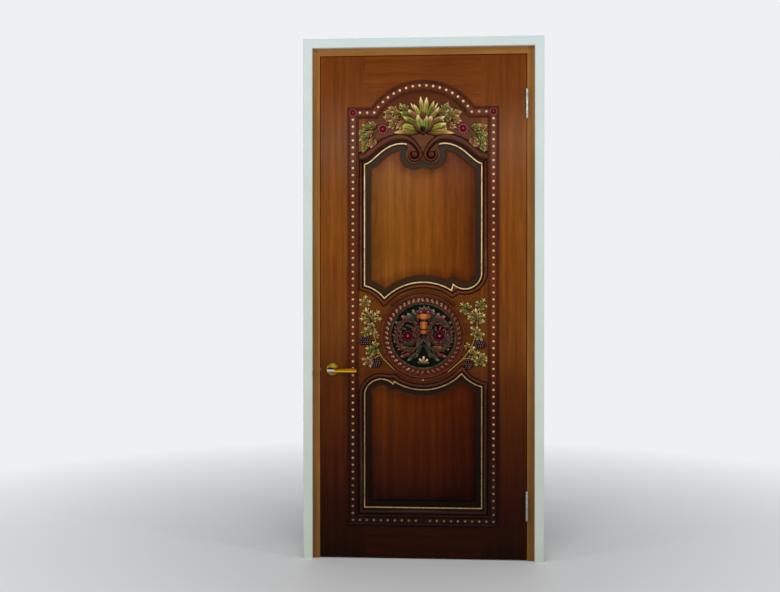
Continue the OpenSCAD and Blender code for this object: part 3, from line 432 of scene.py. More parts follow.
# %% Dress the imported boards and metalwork
FINISH_OF = {
    upright_teak: ["lock_stile", "hinge_stile"],
    foot_teak: ["bottom_rail"],
    rail_teak: ["lock_rail"],
    crest_teak: ["top_rail"],
    jamb_teak: ["lock_jamb", "hinge_jamb"],
    head_teak: ["head_jamb"],
    upright_paint: ["casing_left", "casing_right", "back_casing_left", "back_casing_right"],
    level_paint: ["casing_head", "back_casing_head"],
    border_teak: ["border_left", "border_right", "border_arch", "border_bottom"],
    bead_gilt: ["border_beads"],
    brass: ["front_rose", "back_rose", "latch_faceplate", "faceplate_screws", "strike_plate",
            "strike_screws"],
    chrome: ["front_lever_hub", "back_lever_hub"],
    steel: ["hinge_leaves_jamb", "hinge_leaves_door", "hinge_pins", "hinge_screws_jamb", "hinge_screws_door",
            "spindle", "latch_bolt", "latch_case", "latch_follower", "rose_bolts"],
}


def dress(name, finish):
    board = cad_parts[name]
    board.data.materials.clear()
    board.data.materials.append(finish)


for finish, names in FINISH_OF.items():
    for name in names:
        dress(name, finish)
print("dressed", sum(len(names) for names in FINISH_OF.values()), "packed nodes")

# %% [markdown]
# The panels are not rectangles: their edges rise over the medallion, dip to a point and curl round
# two volutes at the top. The same arcs and curves that shaped the boards are drawn again here,
# with more points, because the mouldings and the sunk margins follow them.


# %% Draw the panel edges
def arc(centre, radius, start, end, count):
    turn = np.radians(np.linspace(start, end, count + 1))
    return np.array(centre) + radius * np.c_[np.cos(turn), np.sin(turn)]


def curve(p, q, r, s, count):
    t = np.linspace(0, 1, count + 1)[:, None]
    u = 1 - t
    return u**3 * np.array(p) + 3 * u * u * t * np.array(q) + 3 * u * t * t * np.array(r) + t**3 * np.array(s)


def polar(radius, angle):
    return radius * np.array([math.cos(math.radians(angle)), math.sin(math.radians(angle))])


def mirrored(points):
    return points * np.r_[-1, np.ones(points.shape[1] - 1)]


def lifted(points):
    return points + np.r_[0, medal_z, np.zeros(points.shape[1] - 2)]


def half_turned(points):
    turned = points.copy()
    turned[:, 0] = -points[:, 0]
    turned[:, 1] = 2 * medal_z - points[:, 1]
    return turned


SWEEP_GAP, SIDE_RISE, CORNER_R = 52.0, 212.0, 67.0
UPPER_CORNER, LOWER_CORNER = 266.0, 250.0
sweep_r = ring_r + SWEEP_GAP
cusp = polar(sweep_r, 135)
notch = polar(sweep_r, 59)
edge_fall = curve([-panel_x, SIDE_RISE], [-panel_x + 25, SIDE_RISE - 6], [-185, 190], cusp, 16)
SHOULDER_DROP, PEAK_X, PEAK_DROP = 216, 88, 132
VOLUTE_X, VOLUTE_DROP, VOLUTE_R = 35, 175, 36.0
shoulder_z = ear_z - SHOULDER_DROP
peak = np.array([PEAK_X, ear_z - PEAK_DROP])
volute = np.array([VOLUTE_X, ear_z - VOLUTE_DROP])


def medallion_edge(corner):
    return np.vstack([edge_fall, arc([0, 0], sweep_r, 130, 59, 40),
                      arc([panel_x - CORNER_R, corner], CORNER_R, 222, 352, 30)])


crown_line = curve([panel_x, shoulder_z], [panel_x - 36, shoulder_z + 5], [165, peak[1]], peak, 30)
past_peak = curve(peak, peak - [16, 0], peak - [25, 4], peak - [28, 14], 8)
top_edge = np.vstack([
    crown_line, past_peak, arc(volute, VOLUTE_R, 36, -138, 30), [[0, volute[1] - 18]]])
upper_outline = np.vstack([lifted(medallion_edge(UPPER_CORNER)), top_edge, mirrored(top_edge[::-1])])
lower_outline = np.vstack([[[-panel_x, sill_z], [panel_x, sill_z]],
                           half_turned(lifted(medallion_edge(LOWER_CORNER)))])
print("outline points", len(upper_outline), len(lower_outline))

# %% [markdown]
# New pieces are made from arrays of points. One helper turns points and four-sided faces into a
# mesh, gives it smooth faces, a finish and its painted colours, lets it ride on the leaf and says
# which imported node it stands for.


# %% Helper for new pieces
def make_piece(name, points, faces, finish, stands_for, paint=None, marks=None, body="leaf"):
    mesh = bpy.data.meshes.new(name)
    mesh.from_pydata((np.asarray(points) * MM).tolist(), [], [list(map(int, f)) for f in faces])
    mesh.validate()
    mesh.polygons.foreach_set("use_smooth", np.ones(len(mesh.polygons), bool))
    if paint is not None:
        layer = mesh.attributes.new("paint", "FLOAT_COLOR", "POINT")
        rgba = np.c_[np.asarray(paint), np.ones(len(paint))]
        layer.data.foreach_set("color", rgba.astype(np.float32).ravel())
    for label, values in (marks or {}).items():
        layer = mesh.attributes.new(label, "FLOAT", "POINT")
        layer.data.foreach_set("value", np.asarray(values, np.float32).ravel())
    mesh.materials.append(finish)
    piece = bpy.data.objects.new(name, mesh)
    bpy.context.scene.collection.objects.link(piece)
    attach(piece, body)
    if stands_for:
        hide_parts(stands_for)
    triangles = sum(len(p.vertices) - 2 for p in mesh.polygons)
    print(name, len(mesh.vertices), "points", triangles, "triangles")


def grid_shell(heights, keep):
    """Faces of a closed shell: the kept cells of a grid, the same cells on a flat back, and the rim."""
    rows, columns = heights.shape
    number = np.arange(rows * columns).reshape(rows, columns)
    corners = np.stack([number[:-1, :-1], number[:-1, 1:], number[1:, 1:], number[1:, :-1]], -1)
    front = corners[keep]
    back = front[:, ::-1] + rows * columns
    ahead = np.concatenate([front[:, [i, (i + 1) % 4]] for i in range(4)])
    pairs = {tuple(e) for e in ahead.tolist()}
    rim = [(b, a, a + rows * columns, b + rows * columns) for a, b in pairs if (b, a) not in pairs]
    return np.vstack([front, back, np.array(rim)])


def compact(points, faces, *values):
    used = np.unique(faces)
    place = np.zeros(len(points), int)
    place[used] = np.arange(len(used))
    return (points[used], place[faces], *[v[used] for v in values])


def ring_faces(rings, sides, start=0):
    """Four-sided faces between each ring of points and the next one."""
    return [[start + a * sides + i, start + a * sides + (i + 1) % sides,
             start + (a + 1) * sides + (i + 1) % sides, start + (a + 1) * sides + i]
            for a in range(rings - 1) for i in range(sides)]


print("helpers for new pieces ready")

# %% [markdown]
# A raised and fielded panel has a sunk margin, a short slope and a flat field. How far a point lies
# from the outline says which of the three it belongs to, so the panel is a grid of points whose
# depth is read from that distance. Corners then mitre by themselves, as a router would cut them.


# %% Measure how far points lie inside an outline
def inside_distance(outline, x, z):
    ends = np.roll(outline, -1, axis=0)
    nearest = np.full(x.shape, 1e9)
    inside = np.zeros(x.shape, bool)
    for (ax, az), (bx, bz) in zip(outline, ends):
        run = np.array([bx - ax, bz - az])
        length = max(run @ run, 1e-9)
        t = np.clip(((x - ax) * run[0] + (z - az) * run[1]) / length, 0, 1)
        nearest = np.minimum(nearest, np.hypot(x - ax - t * run[0], z - az - t * run[1]))
        crosses = (az > z) != (bz > z)
        if abs(bz - az) > 1e-9:
            inside ^= crosses & (x < ax + (z - az) * (bx - ax) / (bz - az))
    return np.where(inside, nearest, -nearest)


def eased(value, low, high):
    t = np.clip((value - low) / (high - low), 0, 1)
    return t * t * (3 - 2 * t)


print("distance helpers ready")

# %% [markdown]
# Each panel has a dark brown margin, a burnt edge that fades raggedly into the field, and a field with
# painted light: lighter and bluer on the left as a painted reflection, darker on the right as painted
# shade. The panel's mesh will carry its distance from the margin as a mark called inset, and the
# lacquer reads it, so the shading follows every curve.

# %% Panel lacquer with its dark margin
FIELD_TONES = [
    (0.1, tone(34, 11, 6)), (0.13, tone(46, 16, 7)), (0.19, tone(68, 27, 6)), (0.3, tone(88, 38, 5)),
    (0.5, tone(120, 67, 20)), (0.65, tone(130, 76, 20)), (0.74, tone(130, 77, 32)), (0.8, tone(120, 66, 30)),
]
MARGIN_TONES = [
    (0.0, tone(16, 8, 5)), (0.2, tone(26, 15, 8)), (0.3, tone(38, 22, 13)), (0.5, tone(52, 37, 23)),
    (0.8, tone(54, 39, 26)),
]


def panel_lacquer():
    material, tree, shader, place = blank("panel_teak")
    marks, fibre = grain(tree, place, "Z")
    # Painted reflection and shade across the field: lighter and bluer on the left, darker on the right.
    side = ramp(tree, spread(tree, axis(tree, place, "X"), -0.24, 0.24), [
        (0.0, (0.92, 1.0, 1.3, 1)), (0.3, (1.0, 1.06, 1.2, 1)), (0.5, (1.0, 1.0, 1.0, 1)),
        (0.62, (0.92, 0.86, 0.8, 1)), (0.66, (0.76, 0.64, 0.62, 1)), (1.0, (0.58, 0.45, 0.5, 1))])
    field = mixed(tree, "MULTIPLY", 1.0, height_tone(tree, place, FIELD_TONES), marks)
    field = mixed(tree, "MULTIPLY", 1.0, field, side)
    inset = node(tree, "Attribute", attribute_name="inset").outputs["Fac"]
    burnt = spread(tree, maths(tree, "ADD", inset, noise(tree, place, 30.0, 3.0)), 0.4, 1.6)
    margin = height_tone(tree, place, MARGIN_TONES)
    edge = mixed(tree, "MULTIPLY", 1.0, field, (0.55, 0.46, 0.42, 1))
    field = mixed(tree, "MIX", burnt, edge, field)
    colour = mixed(tree, "MIX", spread(tree, inset, -0.12, 0.06), margin, field)
    coated(tree, shader, colour, fibre, (0.15, 0.23), 0.03, 0.12, 0.0004)
    return material


panel_teak = panel_lacquer()
print("panel lacquer made")

# %% [markdown]
# Beyond the outline each panel runs on as a tongue in the groove of its rails. The grid stops just
# short of the tongue's end, and its rows are counted from the crest of the arch over or under the
# medallion, so that the last row there reaches into the groove and no light shows past it.

# %% Panels
PANEL_STEP, FIELD_H, MARGIN_W, BEVEL_W = 3.0, 6.0, 25.0, 9.0
SHADE_W, BACK_MARK = 40.0, 2.0
HIDDEN_EDGE = TONGUE - 0.35


def raised_panel(name, outline, node_name, crest):
    low, high = outline.min(0) - TONGUE, outline.max(0) + TONGUE
    xs = np.arange(low[0], high[0] + PANEL_STEP, PANEL_STEP)
    first = crest - PANEL_STEP * math.floor((crest - low[1]) / PANEL_STEP)
    zs = np.arange(first, high[1] + PANEL_STEP, PANEL_STEP)
    x, z = np.meshgrid(xs, zs)
    inset = inside_distance(outline, x, z)
    rise = FIELD_H * eased(inset, MARGIN_W - BEVEL_W / 2, MARGIN_W + BEVEL_W / 2)
    front = panel_low[1] + FIELD_H - rise
    covered = inset > -HIDDEN_EDGE - 0.05
    keep = covered[:-1, :-1] & covered[1:, 1:] & covered[1:, :-1] & covered[:-1, 1:]
    faces = grid_shell(front, keep)
    points = np.vstack([np.c_[x.ravel(), front.ravel(), z.ravel()],
                        np.c_[x.ravel(), np.full(x.size, panel_high[1]), z.ravel()]])
    mark = np.tile((inset.ravel() - MARGIN_W) / SHADE_W, 2)
    mark[x.size:] = BACK_MARK
    points, faces, mark = compact(points, faces, mark)
    make_piece(name, points, faces, panel_teak, node_name, marks={"inset": mark})


raised_panel("upper_panel_face", upper_outline, "upper_panel", medal_z + sweep_r - HIDDEN_EDGE)
raised_panel("lower_panel_face", lower_outline, "lower_panel", medal_z - sweep_r + HIDDEN_EDGE)

# %% [markdown]
# The moulding is a section drawn along a path: a small bead beside the gilding, a quirk and a broad
# roll. The path carries its own half width, so the roll swells over the crown and thins into the
# volutes. Where the path turns a corner, the section is turned to the mitre.

# %% Moulding section and lacquer
SECTION = np.array([
    [-1.0, -1.0], [-0.985, 0.30], [-0.93, 0.46], [-0.85, 0.53], [-0.77, 0.50], [-0.71, 0.40], [-0.66, 0.33],
    [-0.60, 0.36], [-0.50, 0.55], [-0.36, 0.78], [-0.18, 0.93], [0.02, 1.0], [0.22, 1.0], [0.42, 0.93],
    [0.60, 0.80], [0.75, 0.62], [0.86, 0.44], [0.93, 0.28], [0.98, 0.12], [1.0, -1.0]])
ROLL_TONES = [
    (0.0, tone(36, 15, 7)), (0.12, tone(38, 15, 7)), (0.3, tone(54, 20, 8)), (0.45, tone(84, 38, 14)),
    (0.6, tone(80, 36, 13)), (0.8, tone(74, 33, 13)), (1.0, tone(70, 31, 12)),
]


def roll_lacquer(name, tones, cove_shade=0.1, crown=1.35):
    material, tree, shader, place = blank(name)
    rise = node(tree, "Attribute", attribute_name="rise").outputs["Fac"]
    marks, fibre = grain(tree, place, "X")
    colour = mixed(tree, "MULTIPLY", 1.0, height_tone(tree, place, tones), marks)
    # Painted shade and highlight by the share of height: dark in the coves, brighter on the crown.
    shade = ramp(tree, rise, [(0.0, (cove_shade, 0.9 * cove_shade, 0.85 * cove_shade, 1)), (0.42, (1.7 * cove_shade,) * 3 + (1,)),
                              (0.78, (0.62, 0.6, 0.59, 1)), (1.0, (crown,) * 3 + (1,))])
    colour = mixed(tree, "MULTIPLY", 1.0, colour, shade)
    coated(tree, shader, colour, fibre, (0.14, 0.26), 0.1, 0.08, 0.0004)
    return material


moulding_lacquer = roll_lacquer("moulding_lacquer", ROLL_TONES)
print("moulding section points", len(SECTION))

# %% [markdown]
# To sweep a section, each point of the path gets a direction, and the section is set square to it.
# Blender's curves with a bevel object could do this too, but arrays leave the mitres and the
# changing width in our hands. The volutes end in a turned ball, made ring by ring.

# %% Sweep a section along a path
SUNK = 1.0


def unit(vectors):
    return vectors / np.maximum(np.linalg.norm(vectors, axis=-1, keepdims=True), 1e-9)


def thinned(path):
    gaps = np.linalg.norm(np.diff(path[:, :2], axis=0), axis=1)
    return path[np.r_[True, gaps > 0.4]]


def swept(path, section, height, closed):
    """Points, faces and share of height of a section swept along a path of (x, z, half width)."""
    path = thinned(path)
    flat = path[:, :2]
    ahead = unit(np.roll(flat, -1, 0) - flat)
    behind = unit(flat - np.roll(flat, 1, 0))
    if not closed:
        ahead[-1], behind[0] = behind[-1], ahead[0]
    way = unit(ahead + behind)
    mitre = 1 / np.maximum(0.6, (way * ahead).sum(1))
    across = np.c_[way[:, 1], -way[:, 0]] * mitre[:, None]
    count, parts = len(path), len(section)
    spots = flat[:, None, :] + path[:, 2, None, None] * section[None, :, :1] * across[:, None, :]
    out = np.where(section[:, 1] < 0, -SUNK, section[:, 1] * height)
    points = np.stack([spots[..., 0], face - np.tile(out, (count, 1)), spots[..., 1]], -1).reshape(-1, 3)
    number = np.arange(count * parts).reshape(count, parts)
    if closed:
        number = np.vstack([number, number[:1]])
    rolled = np.roll(number, -1, axis=1)
    faces = np.stack([number[:-1], rolled[:-1], rolled[1:], number[1:]], -1).reshape(-1, 4)[:, ::-1].tolist()
    if not closed:
        faces += [number[0].tolist(), number[-1][::-1].tolist()]
    return points, faces, np.tile(np.clip(section[:, 1], 0, 1), count)


def joined(*parts):
    points, faces, marks, offset = [], [], [], 0
    for p, f, m in parts:
        points.append(p)
        faces += [[i + offset for i in corners] for corners in f]
        marks.append(m)
        offset += len(p)
    return np.vstack(points), faces, np.concatenate(marks)


def knob(x, z, radius, rise, rings=8, sides=24):
    """A turned half ball standing on the leaf face."""
    tilt = np.linspace(0, math.pi / 2, rings)
    turn = np.linspace(0, 2 * math.pi, sides, endpoint=False)
    points = [[x + radius * math.cos(t) * math.cos(a), face - rise * math.sin(t),
               z + radius * math.cos(t) * math.sin(a)] for t in tilt[:-1] for a in turn]
    points.append([x, face - rise, z])
    faces = ring_faces(rings - 1, sides)
    last = (rings - 2) * sides
    faces += [[last + i, last + (i + 1) % sides, len(points) - 1] for i in range(sides)]
    faces.append(list(range(sides))[::-1])
    marks = [0.35 + 0.65 * math.sin(t) for t in tilt[:-1] for a in turn] + [1.0]
    return np.array(points), [f[::-1] for f in faces], np.array(marks)


print("sweep and knob ready")

# %% [markdown]
# The moulding keeps a set distance from the panel's edge, but its own corners are cut square or
# drawn out to points. So its path is the panel's outline set off sideways, with the corner points
# given one by one. The crown swings from the border over the panel and curls into the volutes.

# %% Paths of the mouldings
FILLET_W = 6.0
CROWN_D, SHOULDER_D, WING_D = 26.0, 31.0, 17.0
CURL_R, CURL_START, CURL_TURN = 25.5, 150, 262
DIP_HALF, NECK_HALF, CURL_THIN = 17.5, 9.8, 3.4
inner_edge = bead_x - border_half
side_d = (FILLET_W + inner_edge - panel_x) / 2
side_r = side_d - FILLET_W - 0.2
wing_r = WING_D - FILLET_W - 0.2
sill_d = (FILLET_W + sill_z - foot_z - border_half) / 2


def beside(path, distance):
    way = unit(np.gradient(path, axis=0))
    return path + distance * np.c_[way[:, 1], -way[:, 0]]


def with_width(points, width):
    return np.c_[points, np.broadcast_to(width, len(points))]


def wing(corner):
    return lifted(np.vstack([
        [[-panel_x - side_d, SIDE_RISE + 20, side_r], [-panel_x - side_d, SIDE_RISE - WING_D + 4, side_r]],
        with_width(beside(edge_fall, WING_D)[3:14], wing_r),
        [[cusp[0] - 2, cusp[1] - WING_D - 8, wing_r]],
        with_width(arc([0, 0], sweep_r - WING_D, 128, 62, 40), wing_r),
        [[notch[0] + 5, notch[1] - WING_D - 8, wing_r]],
        with_width(arc([panel_x - CORNER_R, corner], CORNER_R + WING_D, 252, 356, 30), wing_r)]))


crown_d = np.linspace(SHOULDER_D, CROWN_D, len(crown_line))
crown_run = np.array([beside(crown_line, d)[i] for i, d in enumerate(crown_d)])
crown_width = crown_d - FILLET_W - 0.4
dip = curve(peak + [0, CROWN_D], peak + [-38, CROWN_D], volute + [-5, 43],
            volute + polar(CURL_R, CURL_START), 20)[1:]
turns = np.linspace(0, 1, 50)
spiral = np.array([volute + polar(CURL_R - 6 * t, CURL_START + CURL_TURN * t) for t in turns])
scroll = np.vstack([
    [[inner_edge - 0.2, crown_run[0][1], crown_width[0]]],
    with_width(crown_run, crown_width), with_width(dip, np.linspace(DIP_HALF, NECK_HALF, len(dip))),
    with_width(spiral, NECK_HALF - CURL_THIN * turns)])
side_top = [panel_x + side_d, crown_run[0][1] - crown_width[0] + 2, side_r]
upper_path = np.vstack([[[-side_top[0], *side_top[1:]]], wing(UPPER_CORNER), [side_top]])
lower_path = np.vstack([
    [[-panel_x - side_d, sill_z - sill_d, side_r], [panel_x + side_d, sill_z - sill_d, side_r]],
    half_turned(wing(LOWER_CORNER))])
print("path points", len(upper_path), len(lower_path))

# %% [markdown]
# The upper moulding is one piece of five parts: the sides with the wing round the medallion, a
# scroll from each side and the two balls. The lower one is a single closed loop.

# %% Mouldings and volutes
VOLUTE_BALL, MOULDING_H = 16.0, 11.0
points, faces, rise = joined(
    swept(upper_path, SECTION, MOULDING_H, False), swept(scroll, SECTION, MOULDING_H, False),
    swept(mirrored(scroll)[::-1], SECTION, MOULDING_H, False),
    *[knob(s * volute[0], volute[1], VOLUTE_BALL, VOLUTE_BALL + 1) for s in (-1, 1)])
make_piece("upper_moulding_roll", points, faces, moulding_lacquer, "upper_moulding",
           marks={"rise": rise})
points, faces, rise = swept(lower_path, SECTION, MOULDING_H, True)
make_piece("lower_moulding_roll", points, faces, moulding_lacquer, "lower_moulding",
           marks={"rise": rise})

# %% [markdown]
# The lever's bar is a stout rounded bar with a soft square section and a domed end. A section is
# drawn once, in shares of the bar's half height and half depth, and repeated along the bar, smaller
# at the end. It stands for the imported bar, keeps its length and depth, and turns with it.

# %% Lever bars
BAR_HALF, BAR_SIDES, BAR_SOFT = 9.6, 28, 0.7
BAR_RINGS = [(0.0, 0.94), (0.02, 1.0), (0.9, 1.0), (0.95, 0.96), (0.98, 0.84), (0.995, 0.6), (1.0, 0.3)]


def softened(value):
    return np.sign(value) * np.abs(value) ** BAR_SOFT


def lever_bar(name, node_name):
    low, high = box_mm(node_name)
    middle, half_depth = middle_mm(node_name), (high[1] - low[1]) / 2
    turn = np.linspace(0, 2 * math.pi, BAR_SIDES, endpoint=False)
    deep, up = softened(np.cos(turn)), softened(np.sin(turn))
    points = np.vstack([
        np.c_[np.full(BAR_SIDES, low[0] + share * (high[0] - low[0])), middle[1] + size * half_depth * deep,
              lever_z + size * BAR_HALF * up] for share, size in BAR_RINGS])
    faces = ring_faces(len(BAR_RINGS), BAR_SIDES)
    faces += [list(range(BAR_SIDES))[::-1], [len(points) - BAR_SIDES + i for i in range(BAR_SIDES)]]
    make_piece(name, points, faces, handled_brass, node_name, body="lever_set")


lever_bar("front_lever_bar", "front_lever_grip")
lever_bar("back_lever_bar", "back_lever_grip")

# %% [markdown]
# A gilt line runs along the edge of each panel, just inside the moulding. It is a slim rounded strip,
# so its section is swept along the same outline, a little outside the edge.

# %% Gilt lines
LINE = np.array([
    [0.4, -1.0], [0.4, 0.5], [1.0, 0.85], [2.2, 1.0], [4.0, 1.0], [5.2, 0.85], [5.8, 0.5], [5.8, -1.0]])
line_h = face - box_mm("lower_fillet")[0][1]
crown_end = np.vstack([crown_line, past_peak[1:5]])
upper_line = np.vstack([mirrored(crown_end)[::-1], lifted(medallion_edge(UPPER_CORNER)), crown_end])
for name, run, closed, node_name in (("upper_gilt_line", upper_line, False, "upper_fillet"),
                                     ("lower_gilt_line", lower_outline, True, "lower_fillet")):
    points, faces, _ = swept(with_width(run, 1.0), LINE, line_h, closed)
    make_piece(name, points, faces, gilt, node_name)

# %% [markdown]
# Carving is a relief: a flat field from which leaves, stems and flowers rise. A grid of heights
# holds it well. Each carved lobe raises the grid where it stands highest and leaves its colours
# there: painted shade in the cuts, at its root and on its lower side, the leaf's own colour on its
# back, a paler touch near its tip and a painted highlight along its upper edge.


# %% A relief that the carver cuts
# Painted shade in the cuts and painted highlight on the high places: how far it reaches and how strong.
CAVITY_SHADE_REACH, CAVITY_SHADE_DEPTH = 5.0, 0.5


def rgb(colours):
    return [np.array(tone(*colour)[:3]) for colour in colours]


class Carving:
    def __init__(self, low, high, step, base):
        self.step, self.base = step, base
        self.xs = np.arange(low[0], high[0] + step, step)
        self.zs = np.arange(low[1], high[1] + step, step)
        self.x, self.z = np.meshgrid(self.xs, self.zs)
        self.height = np.full(self.x.shape, -SUNK)
        self.paint = np.zeros(self.x.shape + (3,))

    def window(self, x0, x1, z0, z1):
        rows = slice(*np.searchsorted(self.zs, [z0, z1]))
        columns = slice(*np.searchsorted(self.xs, [x0, x1]))
        return rows, columns

    def raise_to(self, spot, height, colour):
        higher = height > self.height[spot]
        self.height[spot] = np.where(higher, height, self.height[spot])
        self.paint[spot] = np.where(higher[..., None], colour, self.paint[spot])

    def lobe(self, x, z, turn, length, width, rise, colours, lift=0.0, fold=0.3, full=0.65,
             blunt=2, neck=0.08, shaded=0):
        """A leaf from its root at (x, z). Fold cuts its vein, full and blunt round its sides."""
        reach = length + width
        spot = self.window(x - reach, x + reach, z - reach, z + reach)
        c, s = math.cos(math.radians(turn)), math.sin(math.radians(turn))
        dx, dz = self.x[spot] - x, self.z[spot] - z
        along, across = (dx * c + dz * s) / length, (-dx * s + dz * c) / (width / 2)
        body = np.clip(along, 0, 1)
        girth = np.sin(np.pi * (neck + (1 - neck) * body) ** 0.8) ** full
        beside_vein = across / np.maximum(girth, 0.03)
        swell = (1 - np.abs(beside_vein) ** blunt) * (0.45 + 0.55 * np.sin(np.pi * body**0.9))
        past = np.maximum(0, -along) + np.maximum(0, along - 1)
        vein = fold * np.exp(-((across / 0.16) ** 2)) * np.clip(1.1 - body, 0, 1)
        share = np.clip(swell, 0, 1)
        height = rise * (swell - vein * share) + lift * share - 2 * length * past
        root, back, tip = rgb(colours)
        # Painted light: the leaf darkens toward its edges, its root and the side given by shaded, else its
        # lower side, and rim is a painted highlight along its upper edge.
        under = (shaded or (1 if c < 0 else -1)) * beside_vein
        lit = eased(share, 0.05, 0.5) * (1 - 0.6 * eased(under, 0.0, 0.7))
        lit = lit * (0.3 + 0.7 * eased(body, 0.0, 0.5))
        rim = 0.4 * eased(-under, 0.2, 0.7) * eased(share, 0.1, 0.35)
        pale = np.maximum(eased(body, 0.58, 0.95) * eased(share, 0.08, 0.35), rim)[..., None]
        colour = root + (back - root) * lit[..., None]
        self.raise_to(spot, np.maximum(height, -SUNK), colour + (tip - colour) * pale)

    def stem(self, points, start_r, end_r, rise, colours):
        points = np.array(points, float)
        reach = max(start_r, end_r) * 1.6
        low, high = points.min(0) - reach, points.max(0) + reach
        spot = self.window(low[0], high[0], low[1], high[1])
        x, z = self.x[spot], self.z[spot]
        steps = np.linalg.norm(np.diff(points, axis=0), axis=1)
        gone = np.r_[0, np.cumsum(steps)] / steps.sum()
        best = np.full(x.shape, -SUNK)
        for i in range(len(points) - 1):
            (ax, az), run = points[i], points[i + 1] - points[i]
            t = np.clip(((x - ax) * run[0] + (z - az) * run[1]) / max(run @ run, 1e-9), 0, 1)
            share = gone[i] + t * (gone[i + 1] - gone[i])
            radius = start_r + (end_r - start_r) * share
            far = np.hypot(x - ax - t * run[0], z - az - t * run[1]) / radius
            best = np.maximum(best, rise * radius / max(start_r, end_r) * (1 - far**2))
        # Painted shade: the stem darkens toward its sides and is lighter along its top.
        root, back = rgb(colours[:2])
        lit = eased(best / rise, 0.05, 0.8)[..., None]
        self.raise_to(spot, np.maximum(best, -SUNK), root + (back - root) * lit)

    def berry(self, x, z, radius, rise, colours, lift=0.0):
        reach = 1.5 * radius
        spot = self.window(x - reach, x + reach, z - reach, z + reach)
        far = np.hypot(self.x[spot] - x, self.z[spot] - z) / radius
        dome = np.where(far < 1, np.sqrt(np.clip(1 - far**2, 0, 1)), 1 - far)
        root, back, tip = rgb(colours)
        # Painted light: the berry darkens toward its edge, and a pale spot up and to the left is a painted
        # highlight.
        highlight_distance = np.hypot(self.x[spot] - x + 0.25 * radius, self.z[spot] - z - 0.3 * radius) / radius
        colour = root + (back - root) * eased(dome, 0.2, 0.8)[..., None]
        colour = colour + (tip - colour) * (1 - eased(highlight_distance, 0.1, 0.36))[..., None]
        self.raise_to(spot, np.maximum(rise * dome + lift * (far < 1), -SUNK), colour)

    def painted_light(self):
        """Painted shade left in the cuts and a painted highlight on the high places, as a factor on the
        colours.
        """
        level = np.maximum(self.height, 0)
        soft, count = level, max(1, round(CAVITY_SHADE_REACH / self.step))
        for way in (0, 1):
            soft = sum(np.roll(soft, shift, way) for shift in range(-count, count + 1)) / (2 * count + 1)
        return np.clip(1 + CAVITY_SHADE_DEPTH * (level - soft), 0.12, 1.3)[..., None]

    def piece(self, name, finish, stands_for, slot):
        raised = self.height > 0.0
        keep = raised[:-1, :-1] | raised[1:, :-1] | raised[:-1, 1:] | raised[1:, 1:]
        faces = grid_shell(self.height, keep)
        front = np.c_[self.x.ravel(), self.base - self.height.ravel(), self.z.ravel()]
        back = np.c_[self.x.ravel(), np.full(self.x.size, self.base + SUNK + 0.2), self.z.ravel()]
        paint = np.tile((self.paint * self.painted_light()).reshape(-1, 3), (2, 1))
        points, faces, paint = compact(np.vstack([front, back]), faces, paint)
        make_piece(name, points, faces, finish, stands_for, paint=paint)


print("carving tools ready")

# %% [markdown]
# The painter's palette: dark umber, olive or plum for the painted shade in the cuts, leaf greens and
# browns on the backs, and cream on the tips where the gilding caught the ridges and as painted
# highlight along the upper edges. A coat names three of them: cut, back and tip. Colours are written
# as a screen shows them, which is how a painter would match them.

# %% Palette
UMBER, OLIVE_CUT, PLUM = (22, 9, 4), (24, 18, 6), (26, 7, 14)
GREEN, LIME, OLIVE, STRAW = (80, 82, 20), (122, 122, 32), (96, 72, 26), (98, 80, 30)
CREAM, BUTTER, GOLD = (218, 190, 134), (196, 170, 90), (194, 158, 94)
BARK, AMBER = (112, 66, 28), (112, 72, 28)
TULIP, SPEAR, TAN = (UMBER, LIME, CREAM), (OLIVE_CUT, GREEN, BUTTER), (UMBER, BARK, CREAM)
SEPAL = (PLUM, (84, 28, 12), (104, 46, 20))
OAKS = [
    (UMBER, OLIVE, (202, 178, 118)), (UMBER, AMBER, (210, 176, 120)), (OLIVE_CUT, GREEN, (190, 180, 112)),
]
VINES = [
    (UMBER, STRAW, (226, 198, 132)), (OLIVE_CUT, (84, 76, 26), (206, 186, 108)),
    (UMBER, (104, 76, 28), (222, 186, 124)),
]
STALK, VINE_STALK = (UMBER, (104, 64, 28), GOLD), (UMBER, (150, 122, 62), GOLD)
print("coats for oak leaves", len(OAKS), "and vine leaves", len(VINES))

# %% [markdown]
# An oak leaf is one long lobe with three pairs of side lobes. A vine leaf is five toothed lobes that
# spread from one point. No carver cuts two leaves alike, so a seeded draw varies each lobe's
# length and angle a little, and every run of this lesson repeats the same leaves.

# %% Leaf shapes
OAK_LOBES = [(0.08, 0.5), (0.3, 0.46), (0.52, 0.34)]
VINE_LOBES = [(-100, 0.56, 0.42), (100, 0.56, 0.42), (-54, 0.84, 0.46), (54, 0.84, 0.46), (0, 1.0, 0.5)]
VINE_TEETH = [(0.3, -44), (0.3, 44), (0.56, -36), (0.56, 36)]
draw = np.random.default_rng(7)


def oak_leaf(carving, x, z, turn, size, colours, lift):
    carving.lobe(x, z, turn, size, 0.5 * size, 0.2 * size, colours, lift, 0.45, 0.9)
    for share, length in OAK_LOBES:
        root = np.array([x, z]) + share * polar(size, turn)
        for side in (-1, 1):
            splay, grown = side * draw.uniform(34, 54), draw.uniform(0.85, 1.15) * length * size
            carving.lobe(*root, turn + splay, grown, 0.3 * size, 0.17 * size, colours, lift - 0.6, 0.35, 0.85)


def vine_leaf(carving, x, z, turn, size, colours, lift):
    for splay, length, width in VINE_LOBES:
        grown, way = draw.uniform(0.85, 1.12) * length * size, turn + splay + draw.uniform(-8, 8)
        for share, side in VINE_TEETH:
            root = np.array([x, z]) + share * polar(grown, way)
            carving.lobe(*root, way + side, 0.4 * grown, 0.2 * size, 0.2 * size, colours, lift, 0.3, 0.8)
        carving.lobe(x, z, way, grown, width * size, 0.24 * size, colours, lift, 0.45, 0.8)


